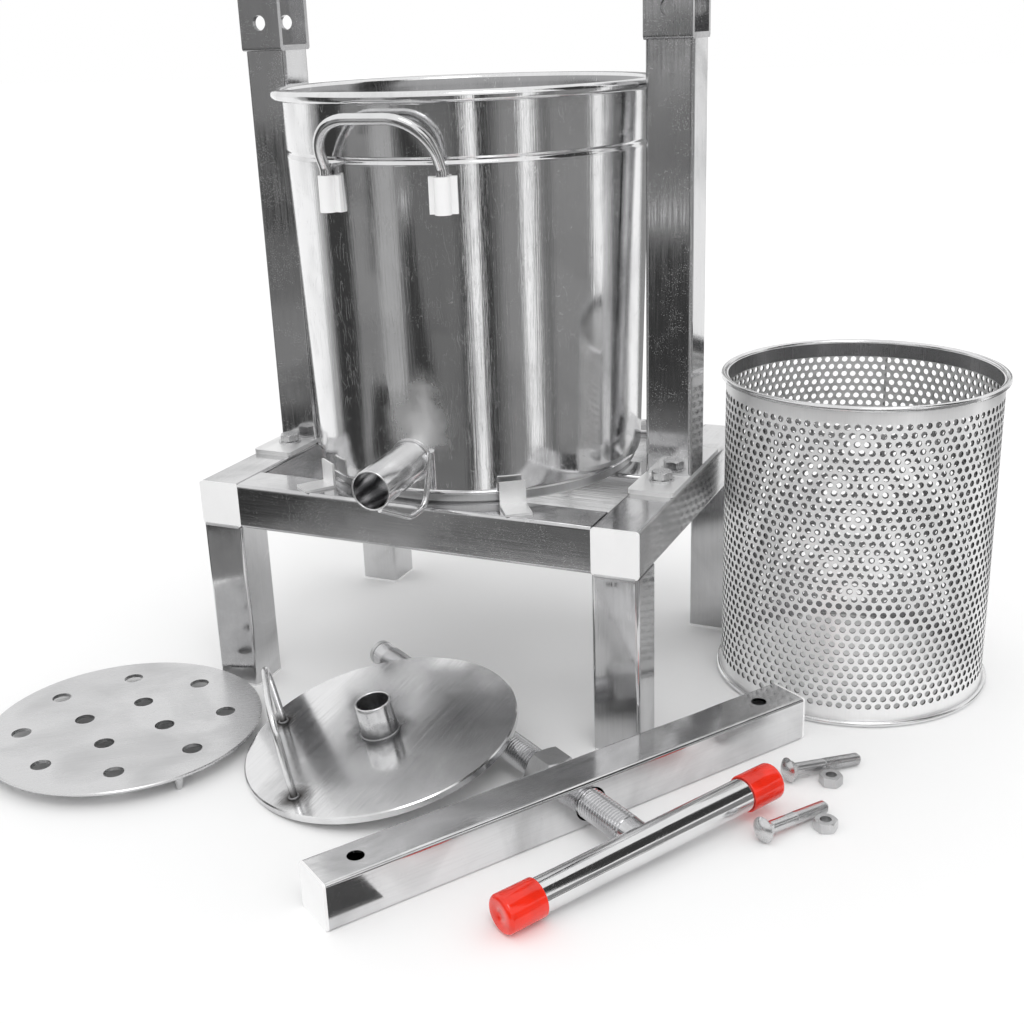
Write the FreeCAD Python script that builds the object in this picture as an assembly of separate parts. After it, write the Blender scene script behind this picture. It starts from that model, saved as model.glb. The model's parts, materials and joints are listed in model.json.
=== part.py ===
import FreeCAD, Part
import math
import os

# Manual fruit press, laid out in pieces as a seller shows it.
# Millimetres, +Z up, the stand's side rails along Y.
# The origin is at the middle of the whole layout, on the floor.

# Stand of square tube
FRAME_TUBE = 40.0
FRAME_WALL = 2.0
TUBE_CORNER_RADIUS = 3.0
BEND_STEPS = 4
STAND_WIDTH = 410.0
STAND_DEPTH = 304.0
STAND_HEIGHT = 196.0
END_PLATE_RIM_HEIGHT = 2.0

# Pot locating tabs on the front and rear rails
TAB_WIDTH = 22.0
TAB_HEIGHT = 21.0
TAB_FOOT_LENGTH = 27.0
TAB_THICKNESS = 2.0
TAB_FACE_RADIUS = 151.0
TAB_ANGLE = 35.0

# Uprights, their base plates and the fork that takes the beam
UPRIGHT_WIDTH = 40.0
UPRIGHT_DEPTH = 38.0
UPRIGHT_WALL = 2.0
BASE_PLATE_LENGTH = 134.0
BASE_PLATE_WIDTH = 40.0
BASE_PLATE_RIM_HEIGHT = 4.0
BASE_BOLT_OFFSET = 35.0
FORK_UNDERSIDE = 551.5
FORK_PLATE = 4.5
FORK_HEIGHT = 50.0
FORK_CLEARANCE = 0.3

# Cross beam and its nut
BEAM_SIZE = 37.4
BEAM_WALL = 2.0
BEAM_LENGTH = 438.0
BEAM_SCREW_HOLE = 27.5
BEAM_MIDDLE_X = 188.0
BEAM_MIDDLE_Y = -248.3
BEAM_DIRECTION = 57.6
NUT_FLATS = 36.0
NUT_THICKNESS = 24.0

# Bolts that hold the beam in the forks
BOLT_DIAMETER = 10.0
BOLT_HOLE = 12.6
BOLT_LENGTH = 65.0
BOLT_HEAD_DIAMETER = 20.0
BOLT_HEAD_HEIGHT = 5.0
BOLT_NECK_LENGTH = 6.0
SMALL_NUT_FLATS = 16.0
SMALL_NUT_HEIGHT = 8.0

# Hexagon bolts of the base plates
BASE_BOLT_DIAMETER = 10.0
BASE_BOLT_HOLE = 11.0
BASE_BOLT_LENGTH = 60.0
HEX_HEAD_FLATS = 16.0
HEX_HEAD_HEIGHT = 6.4
WASHER_DIAMETER = 21.0
WASHER_THICKNESS = 1.6

# Press screw, swivelling tip and T handle
SCREW_DIAMETER = 24.0
SCREW_TIP_REACH = 310.0
SPIGOT_DIAMETER = 14.0
SPIGOT_LENGTH = 4.0
THRUST_CAP_DIAMETER = 23.6
THRUST_CAP_LENGTH = 6.0
RUNNING_CLEARANCE = 0.06
HANDLE_DISTANCE = 83.0
HANDLE_DIAMETER = 25.4
HANDLE_WALL = 1.5
HANDLE_LENGTH = 248.0
HANDLE_ROLL = 1.9
HANDLE_SKEW = 2.0
CAP_WALL = 1.6
CAP_LENGTH = 31.0
CAP_END_THICKNESS = 2.2

# Pot
POT_WALL = 1.5
POT_BASE_RADIUS = 145.5
POT_BODY_RADIUS = 153.5
POT_BAND_RADIUS = 154.0
POT_RIM_RADIUS = 163.0
POT_CORNER_RADIUS = 6.0
POT_HEIGHT = 327.0
POT_GROOVE_BELOW_RIM = 50.5
POT_GROOVE_DEPTH = 1.6
POT_GROOVE_WIDTH = 6.0
RIM_BEAD = 9.0
BASE_DISC_RADIUS = 140.5
BASE_DISC_THICKNESS = 7.5
BASE_DISC_CHAMFER = 2.0

# Pot handles
POT_HANDLE_ROD = 9.0
POT_HANDLE_SPREAD = 18.5
POT_HANDLE_LOW_BELOW_RIM = 87.0
POT_HANDLE_BEND_BELOW_RIM = 57.0
POT_HANDLE_TOP_BELOW_RIM = 18.5
POT_HANDLE_REACH = 18.0
POT_HANDLE_CORNER = 17.0
BRACKET_WIDTH = 22.0
BRACKET_BELOW_RIM = 62.0
BRACKET_HEIGHT = 28.0
BRACKET_SHEET = 2.0

# Spout and the bent wire below it
SPOUT_DIAMETER = 33.0
SPOUT_WALL = 1.5
SPOUT_BEARING = 2.8
SPOUT_MOUTH_RADIUS = 221.0
SPOUT_MOUTH_HEIGHT = 35.6
SPOUT_WALL_HEIGHT = 38.0
BRACE_WIRE = 5.0
BRACE_RAIL_GAP = 1.1
BRACE_BEND_FROM_MOUTH = 33.0
BRACE_END_FROM_MOUTH = 12.0

# Perforated basket
BASKET_X = 328.2
BASKET_Y = 76.0
BASKET_RADIUS = 115.7
BASKET_SHEET = 1.5
BASKET_HEIGHT = 278.5
BASKET_BEAD = 5.0
BASKET_BAND = 16.0
BASKET_HOLE_FLATS = 19.0
BASKET_HOLE_COLUMNS = 20
BASKET_HOLE_ROWS = 7

# Drain plate
DRAIN_X = -218.8
DRAIN_Y = -272.6
DRAIN_RADIUS = 116.5
DRAIN_THICKNESS = 3.0
DRAIN_LEG_HEIGHT = 11.5
DRAIN_LEG_TOP = 5.0
DRAIN_LEG_TIP = 2.2
DRAIN_LEG_CIRCLE = 110.0
DRAIN_LEG_TURN = -29.0
DRAIN_HOLE = 16.5
DRAIN_OUTER_CIRCLE = 85.3
DRAIN_INNER_CIRCLE = 37.0
DRAIN_TURN = -56.5

# Press plate, leaning on the screw
PLATE_ACROSS_SCREW = 77.0
PLATE_ALONG_SCREW = 164.5
PLATE_FALL = 171.4
PLATE_RADIUS = 113.8
PLATE_RIM_HEIGHT = 5.8
PLATE_SHEET = 2.5
PLATE_EDGE_CHAMFER = 1.0
PLATE_GAP = 0.35
PLATE_FLOOR_GAP = 0.02
HUB_DIAMETER = 30.0
HUB_WALL = 1.8
HUB_HEIGHT = 29.0
LOOP_ROD = 6.0
LOOP_RADIUS = 97.0
LOOP_START = 121.4
LOOP_END = 196.4
LOOP_HEIGHT = 68.0
LOOP_TAPER = 0.12
LOOP_CORNER = 30.0

# Loose bolts and nuts: distances along and across the beam from its middle
BOLT_ONE_ALONG = 156.3
BOLT_ONE_ACROSS = 58.9
BOLT_ONE_TURN = -12.5
BOLT_TWO_ALONG = 82.6
BOLT_TWO_ACROSS = 110.4
BOLT_TWO_TURN = 1.8
LOOSE_NUT_ONE_ALONG = 185.4
LOOSE_NUT_ONE_ACROSS = 82.0
LOOSE_NUT_TWO_ALONG = 136.1
LOOSE_NUT_TWO_ACROSS = 124.5

# Derived places
RAIL_CENTRE = STAND_WIDTH / 2 - FRAME_TUBE / 2
RAIL_INSIDE = STAND_WIDTH / 2 - FRAME_TUBE
LEG_HEIGHT = STAND_HEIGHT - FRAME_TUBE
POT_GROOVE_HEIGHT = POT_HEIGHT - POT_GROOVE_BELOW_RIM
POT_HANDLE_LOW = POT_HEIGHT - POT_HANDLE_LOW_BELOW_RIM
POT_HANDLE_BEND = POT_HEIGHT - POT_HANDLE_BEND_BELOW_RIM
POT_HANDLE_TOP = POT_HEIGHT - POT_HANDLE_TOP_BELOW_RIM
BRACKET_HIGH = POT_HEIGHT - BRACKET_BELOW_RIM
BRACKET_LOW = BRACKET_HIGH - BRACKET_HEIGHT
BASE_PLATE_TOP = STAND_HEIGHT + BASE_PLATE_RIM_HEIGHT
BEAM_SEAT = FORK_UNDERSIDE + FORK_PLATE
FORK_HOLE_HEIGHT = BEAM_SEAT + BEAM_SIZE / 2
FORK_GAP = BEAM_SIZE + 2 * FORK_CLEARANCE
FORK_DEPTH = FORK_GAP + 2 * FORK_PLATE
SCREW_HEIGHT = BEAM_SIZE / 2
SCREW_RADIUS = SCREW_DIAMETER / 2
UP = FreeCAD.Vector(0, 0, 1)
HERE = FreeCAD.Vector(0, 0, 0)


def vec(x, y, z):
    return FreeCAD.Vector(x, y, z)


def cylinder(radius, height, base=HERE, direction=UP):
    return Part.makeCylinder(radius, height, base, direction)


def tube(radius, wall, height, base=HERE, direction=UP):
    outside = cylinder(radius, height, base, direction)
    return outside.cut(cylinder(radius - wall, height, base, direction))


def block(low, high):
    size = high.sub(low)
    return Part.makeBox(size.x, size.y, size.z, low)


def rounded_bar(width, depth, length, radius):
    bar = Part.makeBox(width, depth, length, vec(-width / 2, -depth / 2, 0))
    if radius <= 0:
        return bar
    corners = [edge for edge in bar.Edges if abs(edge.tangentAt(edge.FirstParameter).z) > 0.9]
    return bar.makeFillet(radius, corners)


def square_tube(width, depth, wall, length):
    outside = rounded_bar(width, depth, length, TUBE_CORNER_RADIUS)
    inside = rounded_bar(width - 2 * wall, depth - 2 * wall, length, TUBE_CORNER_RADIUS - wall)
    return outside.cut(inside)


def lay_along(shape, axis, middle):
    turned = shape.copy()
    if axis == "x":
        turned.rotate(HERE, vec(0, 1, 0), 90)
    if axis == "y":
        turned.rotate(HERE, vec(1, 0, 0), -90)
    turned.translate(middle)
    return turned


def hexagon(flats, height):
    corner = flats / math.sqrt(3)
    points = []
    for index in range(7):
        angle = math.radians(60 * index)
        points.append(vec(corner * math.cos(angle), corner * math.sin(angle), 0))
    return Part.Face(Part.makePolygon(points)).extrude(vec(0, 0, height))


def chamfered_hexagon(flats, height):
    corner = flats / math.sqrt(3)
    flat = flats / 2
    drop = (corner - flat) * 0.6
    profile = [vec(0, 0, 0), vec(flat, 0, 0), vec(corner, 0, drop), vec(corner, 0, height - drop),
               vec(flat, 0, height), vec(0, 0, height), vec(0, 0, 0)]
    turned = Part.Face(Part.makePolygon(profile)).revolve(HERE, UP, 360)
    return hexagon(flats, height).common(turned)


def bend_points(before, corner, after, bend_radius):
    back = before.sub(corner).normalize()
    ahead = after.sub(corner).normalize()
    half_angle = back.getAngle(ahead) / 2
    middle = corner + (back + ahead).normalize() * (bend_radius / math.sin(half_angle))
    arm = (corner + back * (bend_radius / math.tan(half_angle))).sub(middle)
    axis = back.cross(ahead).normalize()
    turn = math.pi - 2 * half_angle
    points = []
    for step in range(BEND_STEPS + 1):
        angle = -turn * step / BEND_STEPS
        swung = arm * math.cos(angle) + axis.cross(arm) * math.sin(angle)
        points.append(middle + swung)
    return points


def bent_rod(corners, bend_radius, radius):
    points = [corners[0]]
    for before, corner, after in zip(corners, corners[1:], corners[2:]):
        points += bend_points(before, corner, after, bend_radius)
    points.append(corners[-1])
    path = Part.makePolygon(points)
    ring = Part.Wire(Part.makeCircle(radius, points[0], points[1].sub(points[0])))
    return path.makePipeShell([ring], True, False, 1)


def arc_points(middle, radius, first_degrees, last_degrees, steps):
    points = []
    for step in range(steps + 1):
        angle = math.radians(first_degrees + (last_degrees - first_degrees) * step / steps)
        points.append(middle + vec(radius * math.cos(angle), 0, radius * math.sin(angle)))
    return points


def turned_profile(points):
    closed = list(points) + [points[0]]
    return Part.Face(Part.makePolygon(closed)).revolve(HERE, UP, 360)


def side_rail(side):
    rail = square_tube(FRAME_TUBE, FRAME_TUBE, FRAME_WALL, STAND_DEPTH - 2 * END_PLATE_RIM_HEIGHT)
    centre = side * RAIL_CENTRE
    start = -STAND_DEPTH / 2 + END_PLATE_RIM_HEIGHT
    rail = lay_along(rail, "y", vec(centre, start, STAND_HEIGHT - FRAME_TUBE / 2))
    for y in (-BASE_BOLT_OFFSET, BASE_BOLT_OFFSET):
        rail = rail.cut(cylinder(BASE_BOLT_HOLE / 2, FRAME_TUBE, vec(centre, y, LEG_HEIGHT)))
    return rail


def cross_rail(y):
    rail = square_tube(FRAME_TUBE, FRAME_TUBE, FRAME_WALL, 2 * RAIL_INSIDE)
    return lay_along(rail, "x", vec(-RAIL_INSIDE, y, STAND_HEIGHT - FRAME_TUBE / 2))


def leg(side, end):
    post = square_tube(FRAME_TUBE, FRAME_TUBE, FRAME_WALL, LEG_HEIGHT - END_PLATE_RIM_HEIGHT)
    post.translate(vec(side * RAIL_CENTRE, end * (STAND_DEPTH / 2 - FRAME_TUBE / 2), END_PLATE_RIM_HEIGHT))
    return post


def rail_end_plates():
    plates = []
    for side in (-1, 1):
        for start in (-STAND_DEPTH / 2, STAND_DEPTH / 2 - END_PLATE_RIM_HEIGHT):
            plate = rounded_bar(FRAME_TUBE, FRAME_TUBE, END_PLATE_RIM_HEIGHT, TUBE_CORNER_RADIUS)
            plates.append(lay_along(plate, "y", vec(side * RAIL_CENTRE, start, STAND_HEIGHT - FRAME_TUBE / 2)))
    return plates


def leg_foot_plates():
    plates = []
    for side in (-1, 1):
        for end in (-1, 1):
            plate = rounded_bar(FRAME_TUBE, FRAME_TUBE, END_PLATE_RIM_HEIGHT, TUBE_CORNER_RADIUS)
            plate.translate(vec(side * RAIL_CENTRE, end * (STAND_DEPTH / 2 - FRAME_TUBE / 2), 0))
            plates.append(plate)
    return plates


def pot_locating_tabs():
    outer = TAB_FACE_RADIUS + TAB_FOOT_LENGTH
    foot = block(vec(TAB_FACE_RADIUS, -TAB_WIDTH / 2, 0), vec(outer, TAB_WIDTH / 2, TAB_THICKNESS))
    face = block(vec(TAB_FACE_RADIUS, -TAB_WIDTH / 2, 0),
                 vec(TAB_FACE_RADIUS + TAB_THICKNESS, TAB_WIDTH / 2, TAB_HEIGHT))
    angle_piece = foot.fuse(face).removeSplitter()
    tabs = []
    for middle in (-90, 90):
        for turn in (-TAB_ANGLE, TAB_ANGLE):
            tab = angle_piece.copy()
            tab.rotate(HERE, UP, middle + turn)
            tab.translate(vec(0, 0, STAND_HEIGHT))
            tabs.append(tab)
    return tabs


# Uprights

def upright(side):
    post = square_tube(UPRIGHT_WIDTH, UPRIGHT_DEPTH, UPRIGHT_WALL, FORK_UNDERSIDE - BASE_PLATE_TOP)
    post.translate(vec(side * RAIL_CENTRE, 0, BASE_PLATE_TOP))
    return post


def base_plate(side):
    plate = rounded_bar(BASE_PLATE_WIDTH, BASE_PLATE_LENGTH, BASE_PLATE_RIM_HEIGHT, 4.0)
    plate.translate(vec(side * RAIL_CENTRE, 0, STAND_HEIGHT))
    for y in (-BASE_BOLT_OFFSET, BASE_BOLT_OFFSET):
        hole = cylinder(BASE_BOLT_HOLE / 2, BASE_PLATE_RIM_HEIGHT, vec(side * RAIL_CENTRE, y, STAND_HEIGHT))
        plate = plate.cut(hole)
    return plate


def beam_fork(side):
    outside = block(vec(-UPRIGHT_WIDTH / 2, -FORK_DEPTH / 2, 0),
                    vec(UPRIGHT_WIDTH / 2, FORK_DEPTH / 2, FORK_HEIGHT))
    lower_edges = [edge for edge in outside.Edges
                   if abs(edge.BoundBox.ZMax) < 0.01 and edge.BoundBox.YLength < 0.01]
    outside = outside.makeFillet(3.0, lower_edges)
    gap = block(vec(-UPRIGHT_WIDTH, -FORK_GAP / 2, FORK_PLATE),
                vec(UPRIGHT_WIDTH, FORK_GAP / 2, 2 * FORK_HEIGHT))
    fork = outside.cut(gap)
    hole = cylinder(BOLT_HOLE / 2, FORK_DEPTH, vec(0, -FORK_DEPTH / 2, FORK_PLATE + BEAM_SIZE / 2),
                    vec(0, 1, 0))
    fork = fork.cut(hole)
    fork.translate(vec(side * RAIL_CENTRE, 0, FORK_UNDERSIDE))
    return fork


def base_bolt_places():
    return [(side * RAIL_CENTRE, y) for side in (-1, 1) for y in (-BASE_BOLT_OFFSET, BASE_BOLT_OFFSET)]


def base_bolts():
    under_head = BASE_PLATE_TOP + WASHER_THICKNESS
    bolts = []
    for x, y in base_bolt_places():
        head = chamfered_hexagon(HEX_HEAD_FLATS, HEX_HEAD_HEIGHT)
        head.translate(vec(x, y, under_head))
        shank = cylinder(BASE_BOLT_DIAMETER / 2, BASE_BOLT_LENGTH, vec(x, y, under_head - BASE_BOLT_LENGTH))
        bolts.append(head.fuse(shank).removeSplitter())
    return bolts


def base_washers():
    washers = []
    for x, y in base_bolt_places():
        ring = tube(WASHER_DIAMETER / 2, (WASHER_DIAMETER - BASE_BOLT_HOLE) / 2, WASHER_THICKNESS)
        ring.translate(vec(x, y, BASE_PLATE_TOP))
        washers.append(ring)
    return washers


def base_nuts():
    nuts = []
    for x, y in base_bolt_places():
        nut = chamfered_hexagon(SMALL_NUT_FLATS, SMALL_NUT_HEIGHT)
        nut = nut.cut(cylinder(BASE_BOLT_DIAMETER / 2, SMALL_NUT_HEIGHT))
        nut.translate(vec(x, y, LEG_HEIGHT - SMALL_NUT_HEIGHT))
        nuts.append(nut)
    return nuts


# Pot

def pot_outline(inset):
    groove = POT_GROOVE_WIDTH / 2
    corner = vec(POT_BASE_RADIUS - POT_CORNER_RADIUS, 0, BASE_DISC_THICKNESS + POT_CORNER_RADIUS)
    points = [vec(0, 0, BASE_DISC_THICKNESS + inset)]
    points += arc_points(corner, POT_CORNER_RADIUS - inset, -90, 0, 3)
    points.append(vec(POT_BODY_RADIUS - inset, 0, POT_GROOVE_HEIGHT - groove))
    points.append(vec(POT_BODY_RADIUS - inset - POT_GROOVE_DEPTH, 0, POT_GROOVE_HEIGHT))
    points.append(vec(POT_BAND_RADIUS - inset, 0, POT_GROOVE_HEIGHT + groove))
    return points


def spout_line():
    angle = math.radians(-90 + SPOUT_BEARING)
    wall = POT_BASE_RADIUS - POT_WALL / 2
    start = vec(wall * math.cos(angle), wall * math.sin(angle), SPOUT_WALL_HEIGHT)
    mouth = vec(SPOUT_MOUTH_RADIUS * math.cos(angle), SPOUT_MOUTH_RADIUS * math.sin(angle),
                SPOUT_MOUTH_HEIGHT)
    return start, mouth


def pot_solid():
    top = POT_HEIGHT - RIM_BEAD
    return turned_profile(pot_outline(0.0) + [vec(POT_BAND_RADIUS, 0, top), vec(0, 0, top)])


def pot_body():
    bead = RIM_BEAD / 2
    bead_middle = vec(POT_RIM_RADIUS - bead, 0, POT_HEIGHT - bead)
    rim = [vec(POT_BAND_RADIUS, 0, POT_HEIGHT - RIM_BEAD)] + arc_points(bead_middle, bead, -90, 150, 6)
    rim.append(vec(POT_BAND_RADIUS - POT_WALL, 0, POT_HEIGHT - bead))
    body = turned_profile(pot_outline(0.0) + rim + list(reversed(pot_outline(POT_WALL))))
    start, mouth = spout_line()
    direction = mouth.sub(start).normalize()
    behind = start.sub(direction * 20)
    return body.cut(cylinder(SPOUT_DIAMETER / 2 - SPOUT_WALL, 60, behind, direction))


def pot_base_disc():
    disc = cylinder(BASE_DISC_RADIUS, BASE_DISC_THICKNESS)
    low = [edge for edge in disc.Edges if edge.Length > 2 * BASE_DISC_RADIUS and edge.CenterOfMass.z < 1]
    return disc.makeChamfer(BASE_DISC_CHAMFER, low)


def spout_tube():
    start, mouth = spout_line()
    direction = mouth.sub(start).normalize()
    behind = start.sub(direction * 15)
    pipe = tube(SPOUT_DIAMETER / 2, SPOUT_WALL, mouth.sub(behind).Length, behind, direction)
    return pipe.cut(pot_solid())


def brace_wire():
    start, mouth = spout_line()
    radius = BRACE_WIRE / 2
    wall = POT_BASE_RADIUS + radius + 0.9
    side = math.radians(-90 + 9.6)
    under = SPOUT_MOUTH_HEIGHT - SPOUT_DIAMETER / 2 - radius - 0.1
    points = [
        vec(wall * math.cos(side), wall * math.sin(side), 46),
        vec(23.0, -(STAND_DEPTH / 2 + radius + BRACE_RAIL_GAP), -1),
        vec(17.0, BRACE_BEND_FROM_MOUTH - SPOUT_MOUTH_RADIUS, -7),
        vec(mouth.x + 0.6, BRACE_END_FROM_MOUTH - SPOUT_MOUTH_RADIUS, under),
    ]
    rod = bent_rod(points, 2.4 * radius, radius)
    pipe = cylinder(SPOUT_DIAMETER / 2, mouth.sub(start).Length, start, mouth.sub(start))
    return rod.cut(pot_solid()).cut(pipe)


def pot_handle_rod():
    spread = math.radians(POT_HANDLE_SPREAD)
    rod = POT_HANDLE_ROD / 2
    wall = POT_BODY_RADIUS + rod + 0.6
    side_x = wall * math.sin(spread)
    near = -wall * math.cos(spread)
    far = -(POT_BAND_RADIUS + POT_HANDLE_REACH)
    points = [
        vec(side_x, near, POT_HANDLE_LOW),
        vec(side_x, near, POT_HANDLE_BEND),
        vec(side_x, far, POT_HANDLE_TOP),
        vec(-side_x, far, POT_HANDLE_TOP),
        vec(-side_x, near, POT_HANDLE_BEND),
        vec(-side_x, near, POT_HANDLE_LOW),
    ]
    return bent_rod(points, POT_HANDLE_CORNER, rod)


def pot_handle_brackets():
    brackets = []
    rod = POT_HANDLE_ROD / 2
    height = BRACKET_HIGH - BRACKET_LOW
    for side in (-1, 1):
        base = block(vec(-BRACKET_WIDTH / 2, -8, 0), vec(BRACKET_WIDTH / 2, BRACKET_SHEET, height))
        saddle = cylinder(rod + BRACKET_SHEET, height, vec(0, rod + 0.6, 0))
        plate = base.fuse(saddle).removeSplitter()
        plate.translate(vec(0, POT_BODY_RADIUS, BRACKET_LOW))
        plate.rotate(HERE, UP, 180 + side * POT_HANDLE_SPREAD)
        brackets.append(plate.cut(pot_handle_rod()).cut(pot_solid()))
    return brackets


def turned_round(shapes):
    turned = []
    for shape in shapes:
        other = shape.copy()
        other.rotate(HERE, UP, 180)
        turned.append(other)
    return turned


# Basket

def basket_shell():
    height = BASKET_HEIGHT - BASKET_BEAD
    shell = tube(BASKET_RADIUS, BASKET_SHEET, height, vec(0, 0, BASKET_BEAD / 2))
    rows_low = BASKET_BEAD / 2 + BASKET_BAND
    rows_high = BASKET_HEIGHT - BASKET_BEAD / 2 - BASKET_BAND
    pitch = (rows_high - rows_low) / BASKET_HOLE_ROWS
    cutters = []
    for row in range(BASKET_HOLE_ROWS):
        for column in range(BASKET_HOLE_COLUMNS):
            cutter = hexagon(BASKET_HOLE_FLATS, BASKET_SHEET + 6)
            cutter.rotate(HERE, vec(0, 1, 0), 90)
            cutter.translate(vec(BASKET_RADIUS - BASKET_SHEET - 3, 0, rows_low + pitch * (row + 0.5)))
            cutter.rotate(HERE, UP, (column + 0.5 * (row % 2)) * 360 / BASKET_HOLE_COLUMNS)
            cutters.append(cutter)
    return shell.cut(Part.makeCompound(cutters))


def basket_rim(height):
    bead = BASKET_BEAD / 2
    middle = vec(BASKET_RADIUS + 0.8 * bead, 0, height)
    outline = [vec(BASKET_RADIUS, 0, height - bead)]
    outline += arc_points(middle, bead, -90, 90, 4)
    outline.append(vec(BASKET_RADIUS, 0, height + bead))
    return turned_profile(outline)


# Drain plate

def drain_plate():
    plate = cylinder(DRAIN_RADIUS, DRAIN_THICKNESS, vec(0, 0, DRAIN_LEG_HEIGHT))
    rims = [edge for edge in plate.Edges if edge.Length > 2 * DRAIN_RADIUS]
    plate = plate.makeChamfer(0.8, rims)
    for index in range(8):
        angle = math.radians(DRAIN_TURN - 45 * index)
        place = vec(DRAIN_OUTER_CIRCLE * math.cos(angle), DRAIN_OUTER_CIRCLE * math.sin(angle), 0)
        plate = plate.cut(cylinder(DRAIN_HOLE / 2, 50, place))
    for index in range(4):
        angle = math.radians(DRAIN_TURN - 90 * index - 20.7)
        place = vec(DRAIN_INNER_CIRCLE * math.cos(angle), DRAIN_INNER_CIRCLE * math.sin(angle), 0)
        plate = plate.cut(cylinder(DRAIN_HOLE / 2, 50, place))
    return plate


def drain_plate_legs():
    legs = []
    for index in range(4):
        angle = math.radians(DRAIN_LEG_TURN + 90 * index)
        place = vec(DRAIN_LEG_CIRCLE * math.cos(angle), DRAIN_LEG_CIRCLE * math.sin(angle), 0)
        legs.append(Part.makeCone(DRAIN_LEG_TIP, DRAIN_LEG_TOP, DRAIN_LEG_HEIGHT, place))
    return legs


# Press plate

def press_plate_disc():
    plate = cylinder(PLATE_RADIUS, PLATE_RIM_HEIGHT)
    rims = [edge for edge in plate.Edges if edge.Length > 2 * PLATE_RADIUS and edge.CenterOfMass.z > 1]
    plate = plate.makeChamfer(PLATE_EDGE_CHAMFER, rims)
    return plate.cut(cylinder(PLATE_RADIUS - PLATE_SHEET, PLATE_RIM_HEIGHT - PLATE_SHEET))


def press_plate_hub():
    return tube(HUB_DIAMETER / 2, HUB_WALL, HUB_HEIGHT, vec(0, 0, PLATE_RIM_HEIGHT))


def press_plate_loop():
    start = math.radians(LOOP_START)
    end = math.radians(LOOP_END)
    first = vec(LOOP_RADIUS * math.cos(start), LOOP_RADIUS * math.sin(start), PLATE_RIM_HEIGHT)
    last = vec(LOOP_RADIUS * math.cos(end), LOOP_RADIUS * math.sin(end), PLATE_RIM_HEIGHT)
    rise = vec(0, 0, LOOP_HEIGHT)
    inward = (last - first) * LOOP_TAPER
    points = [first - vec(0, 0, 1), first + rise + inward, last + rise - inward, last - vec(0, 0, 1)]
    rod = bent_rod(points, LOOP_CORNER, LOOP_ROD / 2)
    above = cylinder(2 * PLATE_RADIUS, 2 * LOOP_HEIGHT, vec(0, 0, PLATE_RIM_HEIGHT))
    return rod.common(above)


def rim_height_at_screw(angle):
    fall = math.radians(PLATE_FALL)
    level = -math.sin(fall)
    uphill = -math.cos(fall) * math.cos(angle)
    swing = math.acos(PLATE_ACROSS_SCREW / PLATE_RADIUS / math.hypot(level, uphill))
    middle = math.atan2(uphill, level)
    lowest = min(math.sin(middle - swing), math.sin(middle + swing))
    return PLATE_RADIUS * math.sin(angle) * (1 + lowest)


def leaning_angle():
    low = math.radians(2)
    high = math.radians(25)
    for step in range(40):
        angle = (low + high) / 2
        need = SCREW_HEIGHT + SCREW_RADIUS / math.cos(angle) + PLATE_GAP
        if rim_height_at_screw(angle) < need:
            low = angle
        else:
            high = angle
    return high


def lean_on_screw(shape):
    angle = leaning_angle()
    fall = math.radians(PLATE_FALL)
    leaning = shape.copy()
    leaning.rotate(HERE, vec(-math.sin(fall), math.cos(fall), 0), math.degrees(angle))
    rise = PLATE_RADIUS * math.sin(angle) + PLATE_FLOOR_GAP
    leaning.translate(vec(-PLATE_ACROSS_SCREW, PLATE_ALONG_SCREW, rise))
    return beside_beam(leaning)


# Beam group: local X along the beam, local -Y towards the handle

def beside_beam(shape):
    placed = shape.copy()
    placed.rotate(HERE, UP, BEAM_DIRECTION)
    placed.translate(vec(BEAM_MIDDLE_X, BEAM_MIDDLE_Y, 0))
    return placed


def cross_beam():
    length = BEAM_LENGTH - 2 * END_PLATE_RIM_HEIGHT
    beam = square_tube(BEAM_SIZE, BEAM_SIZE, BEAM_WALL, length)
    beam = lay_along(beam, "x", vec(-length / 2, 0, SCREW_HEIGHT))
    for x in (-RAIL_CENTRE, RAIL_CENTRE):
        beam = beam.cut(cylinder(BOLT_HOLE / 2, BEAM_SIZE, vec(x, 0, 0)))
    screw_hole = cylinder(BEAM_SCREW_HOLE / 2, BEAM_SIZE, vec(0, -BEAM_SIZE / 2, SCREW_HEIGHT), vec(0, 1, 0))
    return beam.cut(screw_hole)


def beam_end_plates():
    plates = []
    for start in (-BEAM_LENGTH / 2, BEAM_LENGTH / 2 - END_PLATE_RIM_HEIGHT):
        plate = rounded_bar(BEAM_SIZE, BEAM_SIZE, END_PLATE_RIM_HEIGHT, TUBE_CORNER_RADIUS)
        plates.append(lay_along(plate, "x", vec(start, 0, SCREW_HEIGHT)))
    return plates


def press_nut():
    nut = chamfered_hexagon(NUT_FLATS, NUT_THICKNESS)
    nut = nut.cut(cylinder(SCREW_RADIUS + RUNNING_CLEARANCE, NUT_THICKNESS))
    return lay_along(nut, "y", vec(0, BEAM_SIZE / 2, SCREW_HEIGHT))


def press_screw():
    spigot_end = SCREW_TIP_REACH - THRUST_CAP_LENGTH + SPIGOT_LENGTH
    shoulder = SCREW_TIP_REACH - THRUST_CAP_LENGTH
    handle_side = -HANDLE_DISTANCE + 3.0
    rod = cylinder(SCREW_RADIUS, shoulder - handle_side, vec(0, handle_side, SCREW_HEIGHT), vec(0, 1, 0))
    spigot = cylinder(SPIGOT_DIAMETER / 2, spigot_end - handle_side, vec(0, handle_side, SCREW_HEIGHT),
                      vec(0, 1, 0))
    return rod.fuse(spigot).removeSplitter()


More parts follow.
